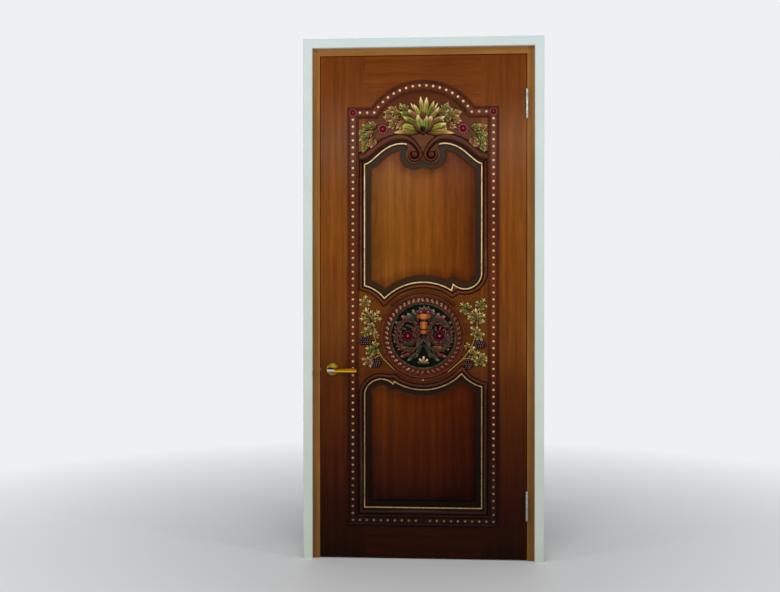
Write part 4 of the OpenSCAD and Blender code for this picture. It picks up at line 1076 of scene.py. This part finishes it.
print("lobes of a vine leaf", len(VINE_LOBES) * (1 + len(VINE_TEETH)))

# %% [markdown]
# The crest is a palmette: spear leaves fan out behind cupped petals, like an opening tulip. Each leaf
# is listed by its root and its tip beside the middle line, from the lowest layer to the top one,
# and every layer is lifted a little, as a carver leaves the front petals standing.

# %% Crest palmette
CARVE_STEP, CREST_DROP, LAYER_LIFT = 1.5, 96, 0.25
crest_z = ear_z - CREST_DROP
LEFT_PETAL = (UMBER, (120, 116, 42), (218, 192, 132))
MIDDLE_PETAL = (UMBER, (104, 112, 38), (200, 186, 116))
RIGHT_PETAL = (UMBER, (120, 84, 36), (220, 188, 134))
OUTER_PETAL = (UMBER, (104, 56, 20), (150, 112, 52))
BUD, LOW_LEAF = (UMBER, (126, 106, 38), CREAM), (UMBER, (120, 88, 30), GOLD)
HEART = (PLUM, (40, 8, 14), (52, 14, 20))
PALMETTE = [
    (-10, 20, -122, 13, 36, 8, LOW_LEAF, 0.12, 0), (14, 18, 130, 9, 36, 8, LOW_LEAF, 0.12, 0),
    (-12, 26, -98, 44, 42, 10, (OLIVE_CUT, LIME, BUTTER), 0.12, 0), (18, 26, 98, 50, 42, 10, TULIP, 0.12, 0),
    (-2, 66, -10, 163, 34, 10, BUD, 0.2, 1), (10, 66, 15, 160, 38, 10, TULIP, 0.2, -1),
    (-8, 62, -38, 130, 40, 11, TULIP, 0.18, 1), (20, 62, 46, 144, 36, 11, SPEAR, 0.18, -1),
    (-10, 60, -52, 138, 22, 9, TAN, 0.18, 1), (22, 60, 62, 136, 22, 9, TAN, 0.18, -1),
    (-14, 58, -66, 112, 36, 12, TAN, 0.14, 0), (26, 60, 68, 118, 32, 12, BUD, 0.14, 0),
    (-16, 42, -84, 80, 38, 12, SPEAR, 0.12, 0), (28, 44, 92, 80, 34, 12, TAN, 0.12, 0),
    (-4, 13, -42, 68, 44, 14, OUTER_PETAL, 0.0, 1), (8, 13, 47, 70, 44, 14, OUTER_PETAL, 0.0, -1),
    (-2, 44, -1, 100, 46, 15, SEPAL, 0.0, 1),
    (12, 14, 38, 86, 46, 16, RIGHT_PETAL, 0.0, -1), (-4, 14, -22, 88, 56, 18, LEFT_PETAL, 0.0, 1),
    (7, 14, 15, 82, 46, 18, MIDDLE_PETAL, 0.0, -1),
    (-1, 13, -2, 44, 20, 22, HEART, 0.0, 1),
]


def heading(run):
    return math.degrees(math.atan2(run[1], run[0]))


def leaf_to(carving, x, z, root, tip, width, rise, colours, lift, fold, full, **cut):
    """A leaf given by its root and its tip, both measured from (x, z)."""
    run = np.subtract(tip, root)
    carving.lobe(x + root[0], z + root[1], heading(run), np.hypot(*run), width, rise, colours, lift, fold,
                 full, **cut)


palmette = Carving([-140, crest_z - 30], [140, crest_z + 172], CARVE_STEP, face)
for layer, (x0, up0, x1, up1, width, rise, colours, neck, shaded) in enumerate(PALMETTE):
    leaf_to(palmette, 0, crest_z, (x0, up0), (x1, up1), width, rise, colours, LAYER_LIFT * layer, 0.3,
            0.8 if neck else 0.6, blunt=2.4, neck=neck, shaded=shaded)
palmette.berry(0, crest_z + 13, 11, 12, (PLUM, (66, 26, 22), (92, 44, 34)))
palmette.piece("crest_palmette_carving", carved_paint, "crest_palmette", "leaf_green")

# %% [markdown]
# Oak sprays lie to the left and right of the palmette, and a second pair fills the corners below
# the ears. The two sides answer each other but were cut leaf by leaf, so each side has its own
# list of leaves, by place, angle and length. Only the stems under them are mirrored.

# %% Crest sprays
LEFT_SPRAY = [
    (-50, -14, 160, 46), (-60, 2, 138, 42), (-88, -8, 165, 46), (-98, -28, 188, 42), (-78, -38, 214, 40),
    (-108, 4, 150, 38), (-66, -48, 236, 30), (-126, -24, 172, 36), (-82, 10, 112, 30), (-126, -4, 168, 36),
    (-112, -46, 198, 34),
]
LEFT_CORNER = [
    (-196, -66, 140, 38), (-222, -70, 150, 36), (-206, -84, 190, 36), (-226, -98, 205, 42),
    (-206, -104, 262, 46), (-232, -112, 235, 40), (-240, -134, 248, 32), (-236, -80, 185, 34),
]
RIGHT_SPRAY = [
    (60, -8, 20, 48), (78, 4, 48, 38), (100, -10, 352, 46), (54, -36, 18, 38), (86, -26, 10, 40),
    (72, -48, 322, 34), (106, -50, 334, 34), (120, -30, 350, 38), (94, 10, 70, 30), (122, -8, 12, 36),
    (92, 0, 20, 34),
]
RIGHT_CORNER = [
    (200, -66, 14, 42), (232, -70, 24, 34), (222, -90, 344, 40), (206, -102, 282, 50),
    (228, -112, 326, 40), (244, -136, 296, 32), (238, -94, 6, 32), (214, -76, 50, 34),
]
OAK_SCALE = 1.12
SPRAY_STEM = [(-44, -44), (-80, -44), (-112, -40), (-148, -50)]
CORNER_STEM = [(-185, -64), (-198, -78), (-206, -98), (-212, -112)]
for name, side, leaves in (("left", 1, LEFT_SPRAY + LEFT_CORNER),
                           ("right", -1, RIGHT_SPRAY + RIGHT_CORNER)):
    low_x, high_x = sorted([-side * 34, -side * (inner_edge - 1)])
    spray = Carving([low_x, ear_z - 172], [high_x, ear_z + 44], CARVE_STEP, face)
    for points, width in ((SPRAY_STEM, 4.0), (CORNER_STEM, 3.6)):
        spray.stem([(side * x, ear_z + up) for x, up in points], width, 2.6, 8, STALK)
    for x, up, turn, size in leaves:
        bent, coat, lift = draw.uniform(-6, 6), OAKS[draw.integers(len(OAKS))], draw.uniform(0, 5)
        oak_leaf(spray, x, ear_z + up, turn + bent, OAK_SCALE * size, coat, lift)
    spray.piece(f"crest_spray_{name}_carving", carved_paint, f"crest_spray_{name}", "leaf_green")

# %% [markdown]
# A vine climbs on each side of the medallion. Its stem starts under the ring, follows it and
# branches to bunches of grapes. At each listed place a large leaf and a small one, turned further,
# lie over each other, each at a height of its own, which gives the crowded look of real vines.

# %% Vines
LEFT_STEM = [
    (-118, -142), (-142, -118), (-168, -92), (-191, -54), (-202, 0), (-208, 54), (-218, 85), (-243, 134),
]
LEFT_TWIG = [(-178, -80), (-212, -96), (-242, -120)]
RIGHT_STEM = [(104, -148), (132, -124), (163, -98), (198, -54), (221, 8), (225, 54), (238, 124)]
RIGHT_TWIG = [(166, -94), (203, -92), (240, -118)]
LEFT_LEAVES = [
    (-242, 132, 95, 42), (-218, 66, 108, 56), (-208, 74, 56, 42), (-226, 84, 160, 36), (-208, 34, 200, 46),
    (-234, 14, 175, 30), (-197, -2, 70, 24), (-193, -52, 186, 50), (-212, -68, 205, 34),
    (-222, -104, 212, 42),
]
RIGHT_LEAVES = [
    (186, 110, 140, 42), (236, 122, 66, 42), (222, 66, 100, 54), (232, 72, 36, 40), (206, 84, 150, 32),
    (220, 14, 134, 36), (226, 4, 18, 40), (186, -46, 110, 24), (200, -78, 22, 48), (232, -96, 300, 46),
    (238, -86, 350, 30),
]
VINE_STEP = 1.4
for name, stem, twig, leaves in (("left", LEFT_STEM, LEFT_TWIG, LEFT_LEAVES),
                                 ("right", RIGHT_STEM, RIGHT_TWIG, RIGHT_LEAVES)):
    side = np.sign(stem[0][0])
    low_x, high_x = sorted([side * 102, side * (inner_edge - 1)])
    vine = Carving([low_x, medal_z - 168], [high_x, medal_z + 184], VINE_STEP, face)
    for points, width in ((stem, 2.8), (twig, 2.4)):
        vine.stem([(x, medal_z + up) for x, up in points], width, 2.2, 8, VINE_STALK)
    for x, up, turn, size in leaves:
        for share, scatter in ((0.92, 6), (0.5, 80)):
            coat, lift = VINES[draw.integers(len(VINES))], draw.uniform(0, 4)
            vine_leaf(vine, x, medal_z + up, turn + draw.uniform(-scatter, scatter), share * size, coat, lift)
    vine.piece(f"vine_{name}_carving", carved_paint, f"vine_{name}", "leaf_green")

# %% [markdown]
# Four bunches of grapes hang from the vines, two on each side. A bunch is an oval filled with rows
# of round berries, every second row set half a berry sideways, as balls pack. Each berry carries a
# painted highlight, one pale spot up and to the left, and painted shade toward its edge.

# %% Grapes
BUNCHES = [(-238, -24, 25, 15), (-194, -113, 20, 18), (237, -35, 25, 13), (190, -120, 15, 18)]
GRAPE_R, GRAPE_H, GRAPE_PITCH, GRAPE_STEP = 5.2, 5.5, 9.0, 1.3
ROW_GAP = GRAPE_PITCH * 0.87
# The first grape colour is the painted shade at the edge, the last one the painted highlight.
GRAPE = ((6, 2, 3), (24, 6, 10), (152, 114, 116))
fruit = Carving([-268, medal_z - 142], [268, medal_z + 2], GRAPE_STEP, face)
for x, up, half_w, half_h in BUNCHES:
    for row in range(int(2 * half_h / ROW_GAP) + 1):
        dz = half_h - row * ROW_GAP
        reach = half_w * math.sqrt(max(0.15, 1 - (dz / (half_h + 4)) ** 2))
        for dx in np.arange(-reach + (row % 2) * GRAPE_PITCH / 2, reach + 0.1, GRAPE_PITCH):
            shift, lift = draw.uniform(-0.8, 0.8), draw.uniform(2, 5)
            fruit.berry(x + dx + shift, medal_z + up + dz, GRAPE_R, GRAPE_H, GRAPE, lift)
fruit.piece("grape_bunches", fruit_paint, "grapes", "grape_purple")

# %% [markdown]
# Rosettes are turned on a lathe, so each is a profile spun about its middle. They have a pink rim
# cut into petals, a dark red cove and a bright red button. Every point of the profile brings its
# own colour, and the petals are made by drawing the rim in and out as it goes round.

# %% Rosettes
ROSETTE = [
    (1.0, -0.05), (1.0, 0.20), (0.96, 0.33), (0.86, 0.40), (0.76, 0.34), (0.68, 0.22), (0.60, 0.17),
    (0.50, 0.18), (0.42, 0.30), (0.34, 0.46), (0.22, 0.56), (0.10, 0.60), (0.02, 0.61),
]
PETALS, PETAL_DEPTH, PETAL_START, SPIN_SIDES = 10, 0.16, 0.7, 60
# The last colour in each list, at the top of the button, is a painted highlight.
PINK, WINE, RED, HIGHLIGHT_PINK = (172, 82, 86), (52, 3, 10), (112, 8, 18), (224, 150, 150)
ROSETTE_COLOURS = [
    WINE, (96, 30, 34), PINK, PINK, (120, 26, 34), WINE, (60, 4, 12), (78, 4, 14), (96, 6, 16), RED, RED, RED,
    HIGHLIGHT_PINK,
]
DIM_COLOURS = [
    WINE, (60, 14, 20), (104, 40, 50), (92, 28, 38), (66, 10, 20), (34, 2, 8), (40, 3, 10), (62, 4, 14),
    (82, 6, 18), (88, 6, 18), (88, 6, 18), (120, 30, 40), HIGHLIGHT_PINK,
]


def rosettes(name, spots, size, stands_for, base, colours=ROSETTE_COLOURS):
    points, faces, paint = [], [], []
    turn = np.linspace(0, 2 * math.pi, SPIN_SIDES, endpoint=False)
    for x, z in spots:
        faces += ring_faces(len(ROSETTE), SPIN_SIDES, len(points))
        faces.append([len(points) + i for i in range(SPIN_SIDES)][::-1])
        for (share, out), colour in zip(ROSETTE, colours):
            scallop = PETAL_DEPTH * eased(share, PETAL_START, 1.0)
            reach = share * size * (1 - scallop + scallop * np.abs(np.cos(PETALS * turn / 2)))
            depth = np.full(SPIN_SIDES, base - out * size)
            points += np.c_[x + reach * np.cos(turn), depth, z + reach * np.sin(turn)].tolist()
            paint += [tone(*colour)[:3]] * SPIN_SIDES
        faces.append([len(points) - SPIN_SIDES + i for i in range(SPIN_SIDES)])
    make_piece(name, points, [f[::-1] for f in faces], fruit_paint, stands_for, paint=paint)


rosettes("corner_rosette_pair", [(s * bead_x, ear_z) for s in (-1, 1)], 16, "corner_rosettes",
         face - CHANNEL_H)
rosettes("crest_rosette_pair", [(-167, ear_z - 69), (166, ear_z - 69)], 20, "crest_rosettes", face)
VASE_X, SCROLL_X = 3.0, 66.0
rosettes("scroll_rosette_pair", [(VASE_X + s * SCROLL_X, medal_z) for s in (-1, 1)], 24,
         "medallion_rosettes", dish_floor, DIM_COLOURS)

# %% [markdown]
# The medallion's ring has two rolls round a flat channel that holds its beads. Its profile is a
# closed loop, listed by radius and height, and spun about the middle of the medallion. The lacquer
# of the mouldings serves again, lighter and with less painted shade in the coves.

# %% Medallion ring
ring_lacquer = roll_lacquer("ring_lacquer", [(0.0, tone(94, 42, 16)), (1.0, tone(98, 46, 18))], 0.34, 1.1)
RING = [
    (138, -1), (138, 4.5), (139.2, 6.2), (141, 6.8), (143, 6), (144.6, 4.2), (146, 3.6), (160, 3.6),
    (161.2, 5), (162.4, 7), (164.4, 8.2), (166.2, 7), (167, 5.8), (167.8, 6.4), (169, 8.8), (171.2, 10.4),
    (173.4, 9.4), (174.8, 6), (175, -1),
]
RING_SIDES, RING_H = 144, 10
turn = np.linspace(0, 2 * math.pi, RING_SIDES, endpoint=False)
points = np.vstack([
    np.c_[radius * np.cos(turn), np.full(RING_SIDES, face - out), medal_z + radius * np.sin(turn)]
    for radius, out in RING])
rise = np.repeat([np.clip(out / RING_H, 0, 1) for radius, out in RING], RING_SIDES)
faces = [[i % len(points) for i in corners[::-1]] for corners in ring_faces(len(RING) + 1, RING_SIDES)]
make_piece("medallion_ring_roll", points, faces, ring_lacquer, "medallion_ring",
           marks={"rise": rise})

# %% [markdown]
# Thin ridges follow the ring above and below it, in the space before the panels' mouldings, and a
# small gilt stud sits on the lower one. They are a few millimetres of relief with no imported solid
# of their own, so they stand for nothing and only ride on the leaf.

# %% Ridges above and below the ring
RIDGE_R, RIDGE_W, RIDGE_H = ring_r + 8.0, 6.5, 7.5
RIDGES = np.array([
    [-1, -1], [-0.97, 0.5], [-0.82, 0.85], [-0.66, 0.55], [-0.58, 0.5], [-0.4, 0.9], [-0.2, 1.0], [0.0, 0.85],
    [0.14, 0.5], [0.24, 0.5], [0.42, 0.8], [0.62, 0.85], [0.8, 0.6], [0.95, 0.3], [1, -1]])
STUD_R, STUD_H = 6.0, 11.0
ridge = lifted(with_width(arc([0, 0], RIDGE_R, 136, 44, 50), RIDGE_W))
for name, run in (("upper_ring_ridge", ridge), ("lower_ring_ridge", half_turned(ridge))):
    points, faces, rise = swept(run, RIDGES, RIDGE_H, False)
    make_piece(name, points, faces, ring_lacquer, None, marks={"rise": rise})
points, faces, _ = knob(0, medal_z - RIDGE_R, STUD_R, STUD_H)
make_piece("lower_ring_stud", points, faces, bead_gilt, None)

# %% [markdown]
# The beads in the ring are drops that point to the middle, tan with pale tips. Those toward the lower
# right take a dimmer coat as painted shade, and a draw decides where the dimmer coat begins, so the
# change is not a straight line.

# %% Ring beads
RING_BEADS, RING_BEAD_R, BEAD_STEP = 46, 153.0, 1.6
EGG = ((36, 10, 5), (112, 56, 32), (222, 180, 142))
SHADED_EGG = ((36, 10, 5), (92, 44, 24), (164, 104, 70))
eggs = Carving([-166, medal_z - 166], [166, medal_z + 166], BEAD_STEP, face - 3.4)
for i in range(RING_BEADS):
    a = 360 * (i + 0.5) / RING_BEADS
    x, z = polar(RING_BEAD_R + 7, a)
    # Painted shade: beads away from the upper left take the dimmer coat.
    egg_coat = SHADED_EGG if math.cos(math.radians(a - 150)) < draw.uniform(-0.5, 0.3) else EGG
    eggs.lobe(x, medal_z + z, a + 180, 15.5, 18, 7, egg_coat, 0, 0.3, full=0.9)
eggs.piece("medallion_ring_beads", fruit_paint, "medallion_beads", "gilt")

# %% [markdown]
# The dish behind the vase is painted nearly black with a green cast, and its rim is a paler grey
# olive. Distance from its middle, worked out from the place of each point, tells rim from floor, so
# the imported dish can stay as it is and needs no second mesh.

# %% Dish
RIM_START, RIM_END = 130, 134


def dish_paint():
    material, tree, shader, place = blank("dish_paint")
    wear = noise(tree, place, 70.0, 4.0)
    ground = ramp(tree, wear, [(0.35, tone(6, 8, 6)), (0.62, tone(16, 18, 13)), (0.8, tone(30, 28, 18))])
    rim = ramp(tree, wear, [(0.3, tone(34, 36, 28)), (0.7, tone(88, 84, 64))])
    past_floor = spread(tree, from_centre(tree, place, medal_z), RIM_START * MM, RIM_END * MM)
    colour = mixed(tree, "MIX", past_floor, ground, rim)
    coated(tree, shader, colour, wear, (0.22, 0.4), 0.03, 0.2, 0.0008)
    return material


dress("medallion_dish", dish_paint())
print("dish painted")

# %% [markdown]
# The vase is a turned shape of which only the front half stands out of the dish. Its half width is
# listed against its height, and each row of the relief rises as half a round of that width. The
# clay has painted shade at the sides and in the narrow neck and foot, and a painted highlight on the
# full parts.

# %% Vase
# The three clay colours are the painted shade, the clay's own colour and the painted highlight.
CLAY = ((44, 14, 8), (122, 60, 22), (166, 98, 48))
VASE = [
    (-18, 2), (-12, 7), (-4, 8), (2, 6), (6, 9), (9, 15), (12, 17), (22, 17), (24, 14), (26.5, 13), (29, 15),
    (32, 18), (56, 18), (59, 16), (62, 12), (67, 15), (71, 22), (75, 32), (79, 34), (86, 34),
    (90, 31), (92, 27),
]
VASE_STEP = 1.0
vase = Carving([VASE_X - 36, medal_z - 18], [VASE_X + 36, medal_z + 94], VASE_STEP, dish_floor)
ups, halves = np.array(VASE, float).T
half = np.interp(vase.z - medal_z, ups, halves, 0.01, 0.01)
share = np.clip(1 - ((vase.x - VASE_X) / half) ** 2, 0, 1)
body = 0.5 * half * np.sqrt(share)
# Painted light: full tone at the middle of each row where the vase is full, painted shade toward its sides
# and in the narrow neck and foot.
lit = (share * eased(half, 12, 18))[..., None]
dark, clay, painted_light = rgb(CLAY)
vase.raise_to((slice(None), slice(None)), np.where(share > 0, body, -SUNK),
              dark + (clay - dark) * eased(lit, 0.0, 0.6) + (painted_light - clay) * eased(lit, 0.75, 1.0))
vase.piece("medallion_vase_carving", fruit_paint, "medallion_vase", "vase_orange")

# %% [markdown]
# Acanthus scrolls curl outward from the vase and round the two rosettes. Each is a spiral stem, given
# by its radius at a list of angles, with leaves set along both its sides. Broad leaves behind them
# fill the dish and are listed by root and tip for the left side.

# %% Coats and lists for the scrolls
ACANTHUS = ((12, 5, 3), (88, 38, 16), (172, 94, 46))
RUST = ((12, 5, 3), (66, 26, 16), (140, 84, 68))
MOSS = ((8, 9, 5), (36, 36, 20), (98, 96, 70))
FLOWER = ((30, 6, 16), (88, 24, 46), (172, 92, 118))
IVORY = ((26, 14, 7), (128, 98, 60), (222, 198, 156))
SHOOT, COIL = (MOSS[0], (62, 54, 34)), (MOSS[0], (58, 38, 24))
LEAF_COATS = [MOSS, RUST, MOSS, RUST, ACANTHUS]
SPIRAL = [
    (-52, 62), (-80, 65), (-110, 61), (-145, 54), (-185, 51), (-230, 56), (-260, 62), (-287, 62), (-312, 54),
    (-353, 43), (-402, 39), (-440, 37), (-490, 35), (-540, 33),
]
LEAF_TIPS = [
    ((-80, -30), (-104, -60), 26, ACANTHUS), ((-104, 0), (-121, -26), 20, ACANTHUS),
    ((-44, -52), (-70, -82), 24, ACANTHUS), ((-34, 46), (-66, 96), 34, MOSS),
    ((-28, 58), (-44, 112), 28, MOSS), ((-48, 58), (-92, 84), 28, RUST), ((-96, 40), (-118, 60), 24, MOSS),
    ((-10, -8), (-28, -56), 26, RUST), ((-6, -36), (-34, -92), 24, MOSS), ((-20, -70), (-66, -104), 24, MOSS),
    ((-50, -78), (-96, -86), 22, RUST),
]
SPIRAL_POINTS, SCROLL_STEP = 64, 1.3
angles = np.linspace(SPIRAL[0][0], SPIRAL[-1][0], SPIRAL_POINTS)
reach = np.interp(-angles, [-a for a, r in SPIRAL], [r for a, r in SPIRAL])
print("broad leaves", len(LEAF_TIPS), "spiral points", len(angles))

# %% [markdown]
# The carving is built in layers on each side: broad leaves first, then the stem, then pairs of leaves
# along the spiral that grow shorter toward its inner end, and a ring of leaves bent inward round
# the rosette. A fan of leaves and pink flowers stands in the vase, and a small ivory fan is below.

# %% Scrolls and flowers
FAN_X, CURL_LEAF_R = VASE_X * 0.5, 44
scrolls = Carving([-132, medal_z - 132], [134, medal_z + 130], SCROLL_STEP, dish_floor)
for side in (-1, 1):
    spin = [(side * (SCROLL_X - 1 - r * math.cos(math.radians(a))) + FAN_X,
             medal_z + 2 + r * math.sin(math.radians(a))) for a, r in zip(angles, reach)]
    for root, tip, width, colours in LEAF_TIPS:
        leaf_to(scrolls, FAN_X, medal_z, (-side * root[0], root[1]), (-side * tip[0], tip[1]), width, 8,
                colours, draw.uniform(0, 1.5), 0.4, 0.5)
    scrolls.stem([(VASE_X, medal_z - 14), (VASE_X + side * 16, medal_z - 32), spin[0]], 6, 8, 9, SHOOT)
    scrolls.stem(spin, 9.0, 6.0, 10, COIL)
    for i in range(1, SPIRAL_POINTS - 2, 2):
        turn = heading(np.subtract(spin[i + 1], spin[i - 1]))
        size = (42 - 20 * i / (SPIRAL_POINTS - 2)) * draw.uniform(0.8, 1.15)
        outer, inner = side * draw.uniform(16, 46), -side * draw.uniform(14, 30)
        for bend, grown, rise in ((outer, size, 9), (inner, 0.6 * size, 8)):
            coat, lift = LEAF_COATS[draw.integers(len(LEAF_COATS))], draw.uniform(0, 3)
            scrolls.lobe(*spin[i], turn + bend, grown, 0.48 * grown, rise, coat, lift, 0.35, 0.75)
    for step in range(-20, 210, 32):
        angle = step if side > 0 else 180 - step
        x, z = polar(CURL_LEAF_R, angle)
        inward, length = angle + 180 - side * 40 + draw.uniform(-25, 25), draw.uniform(18, 30)
        coat, lift = LEAF_COATS[draw.integers(len(LEAF_COATS))], draw.uniform(0, 2)
        scrolls.lobe(VASE_X + side * SCROLL_X + x, medal_z + z, inward, length, 17, 8, coat, lift, 0.35, 0.55)
    scrolls.berry(VASE_X + 6 + side * 15, medal_z + 98, 11, 10, FLOWER, 3)
    scrolls.berry(VASE_X + 6 + side * 38, medal_z + 92, 8, 8, FLOWER, 2)
for i, a in enumerate(range(20, 170, 15)):
    scrolls.lobe(VASE_X + 5, medal_z + 88, a, 40 if i % 2 else 34, 18, 8, MOSS if i % 2 else RUST, 0.5)
for a, length in ((20, 24), (160, 26), (52, 28), (128, 30), (90, 34)):
    scrolls.lobe(VASE_X, medal_z - 118, a, length, 17, 9, IVORY if 50 < a < 130 else MOSS, 1, full=0.5)
scrolls.piece("medallion_scroll_carving", fruit_paint, "medallion_scrolls", "vase_orange")

# %% [markdown]
# The stage is a plain pale floor that fades into the background, so no horizon cuts the picture.
# The fade follows the distance from the door: near it the floor takes light and shadow, farther
# out it only glows in the colour of the background.

# %% Floor
BACKGROUND = (0.86, 0.87, 0.88, 1)
FLOOR_HALF, FADE_START, FADE_END = 9.0, 0.7, 3.2
floor_mesh = bpy.data.meshes.new("floor")
corners = [(x * FLOOR_HALF, y * FLOOR_HALF, 0) for x, y in ((-1, -1), (1, -1), (1, 1), (-1, 1))]
floor_mesh.from_pydata(corners, [], [(0, 1, 2, 3)])
floor = bpy.data.objects.new("floor", floor_mesh)
bpy.context.scene.collection.objects.link(floor)
floor_material, tree, shader, place = blank("pale_floor")
shader.inputs["Base Color"].default_value = (0.74, 0.745, 0.75, 1)
shader.inputs["Roughness"].default_value = 0.6
away = node(tree, "VectorMath", {0: place}, operation="LENGTH").outputs["Value"]
glow = node(tree, "Emission", {"Color": BACKGROUND, "Strength": 1.0}).outputs["Emission"]
far = spread(tree, away, FADE_START, FADE_END)
fade = node(tree, "MixShader", {0: far, 1: shader.outputs["BSDF"], 2: glow})
tree.links.new(fade.outputs["Shader"], tree.nodes["Material Output"].inputs["Surface"])
floor_mesh.materials.append(floor_material)
print("floor", 2 * FLOOR_HALF, "m wide")

# %% [markdown]
# The world is an even pale studio. For the eye and for reflections it is nearly white. As a lamp it is
# weaker, so that colours come out about as they are mixed, and the rays tell which of the two is
# asked for.

# %% World
world = bpy.data.worlds.new("studio")
world.use_nodes = True
bpy.context.scene.world = world
tree = world.node_tree
rays = node(tree, "LightPath")
seen = maths(tree, "MAXIMUM", rays.outputs["Is Camera Ray"], rays.outputs["Is Glossy Ray"])
seen = maths(tree, "MAXIMUM", seen, rays.outputs["Is Transmission Ray"])
lamp = tree.nodes["Background"]
lamp.inputs["Color"].default_value = (0.95, 0.97, 1.0, 1)
lamp.inputs["Strength"].default_value = 0.29
pale = node(tree, "Background", {"Color": BACKGROUND, "Strength": 1.0})
both = node(tree, "MixShader", {0: seen, 1: lamp.outputs[0], 2: pale.outputs[0]})
tree.links.new(both.outputs[0], tree.nodes["World Output"].inputs["Surface"])
bpy.context.scene.view_settings.view_transform = "Standard"
print("world lamp", round(lamp.inputs["Strength"].default_value, 2))

# %% [markdown]
# Four soft boxes light the door: a wide, shallow one in front that draws a gleam along the mouldings,
# a larger one above it for the shadows under the carving, and a slim one from each side that picks
# out the edges. Broad lamps give the soft shadows that relief needs.


# %% Soft boxes
def soft_box(name, place, aim, width, height, power):
    light = bpy.data.lights.new(name, "AREA")
    light.shape, light.size, light.size_y, light.energy = "RECTANGLE", width, height, power
    lamp = bpy.data.objects.new(name, light)
    lamp.location = place
    lamp.rotation_euler = (Vector(aim) - Vector(place)).to_track_quat("-Z", "Y").to_euler()
    bpy.context.scene.collection.objects.link(lamp)


soft_box("key_box", (-0.2, -3.6, 2.30), (0, 0, 1.3), 2.8, 0.36, 30)
soft_box("top_box", (0, -2.7, 4.2), (0, 0, 1.1), 2.6, 1.4, 44)
soft_box("right_box", (3.2, -1.9, 1.7), (0, 0, 1.2), 0.3, 1.1, 30)
soft_box("left_box", (-3.2, -2.2, 1.6), (0, 0, 1.2), 0.3, 0.9, 26)
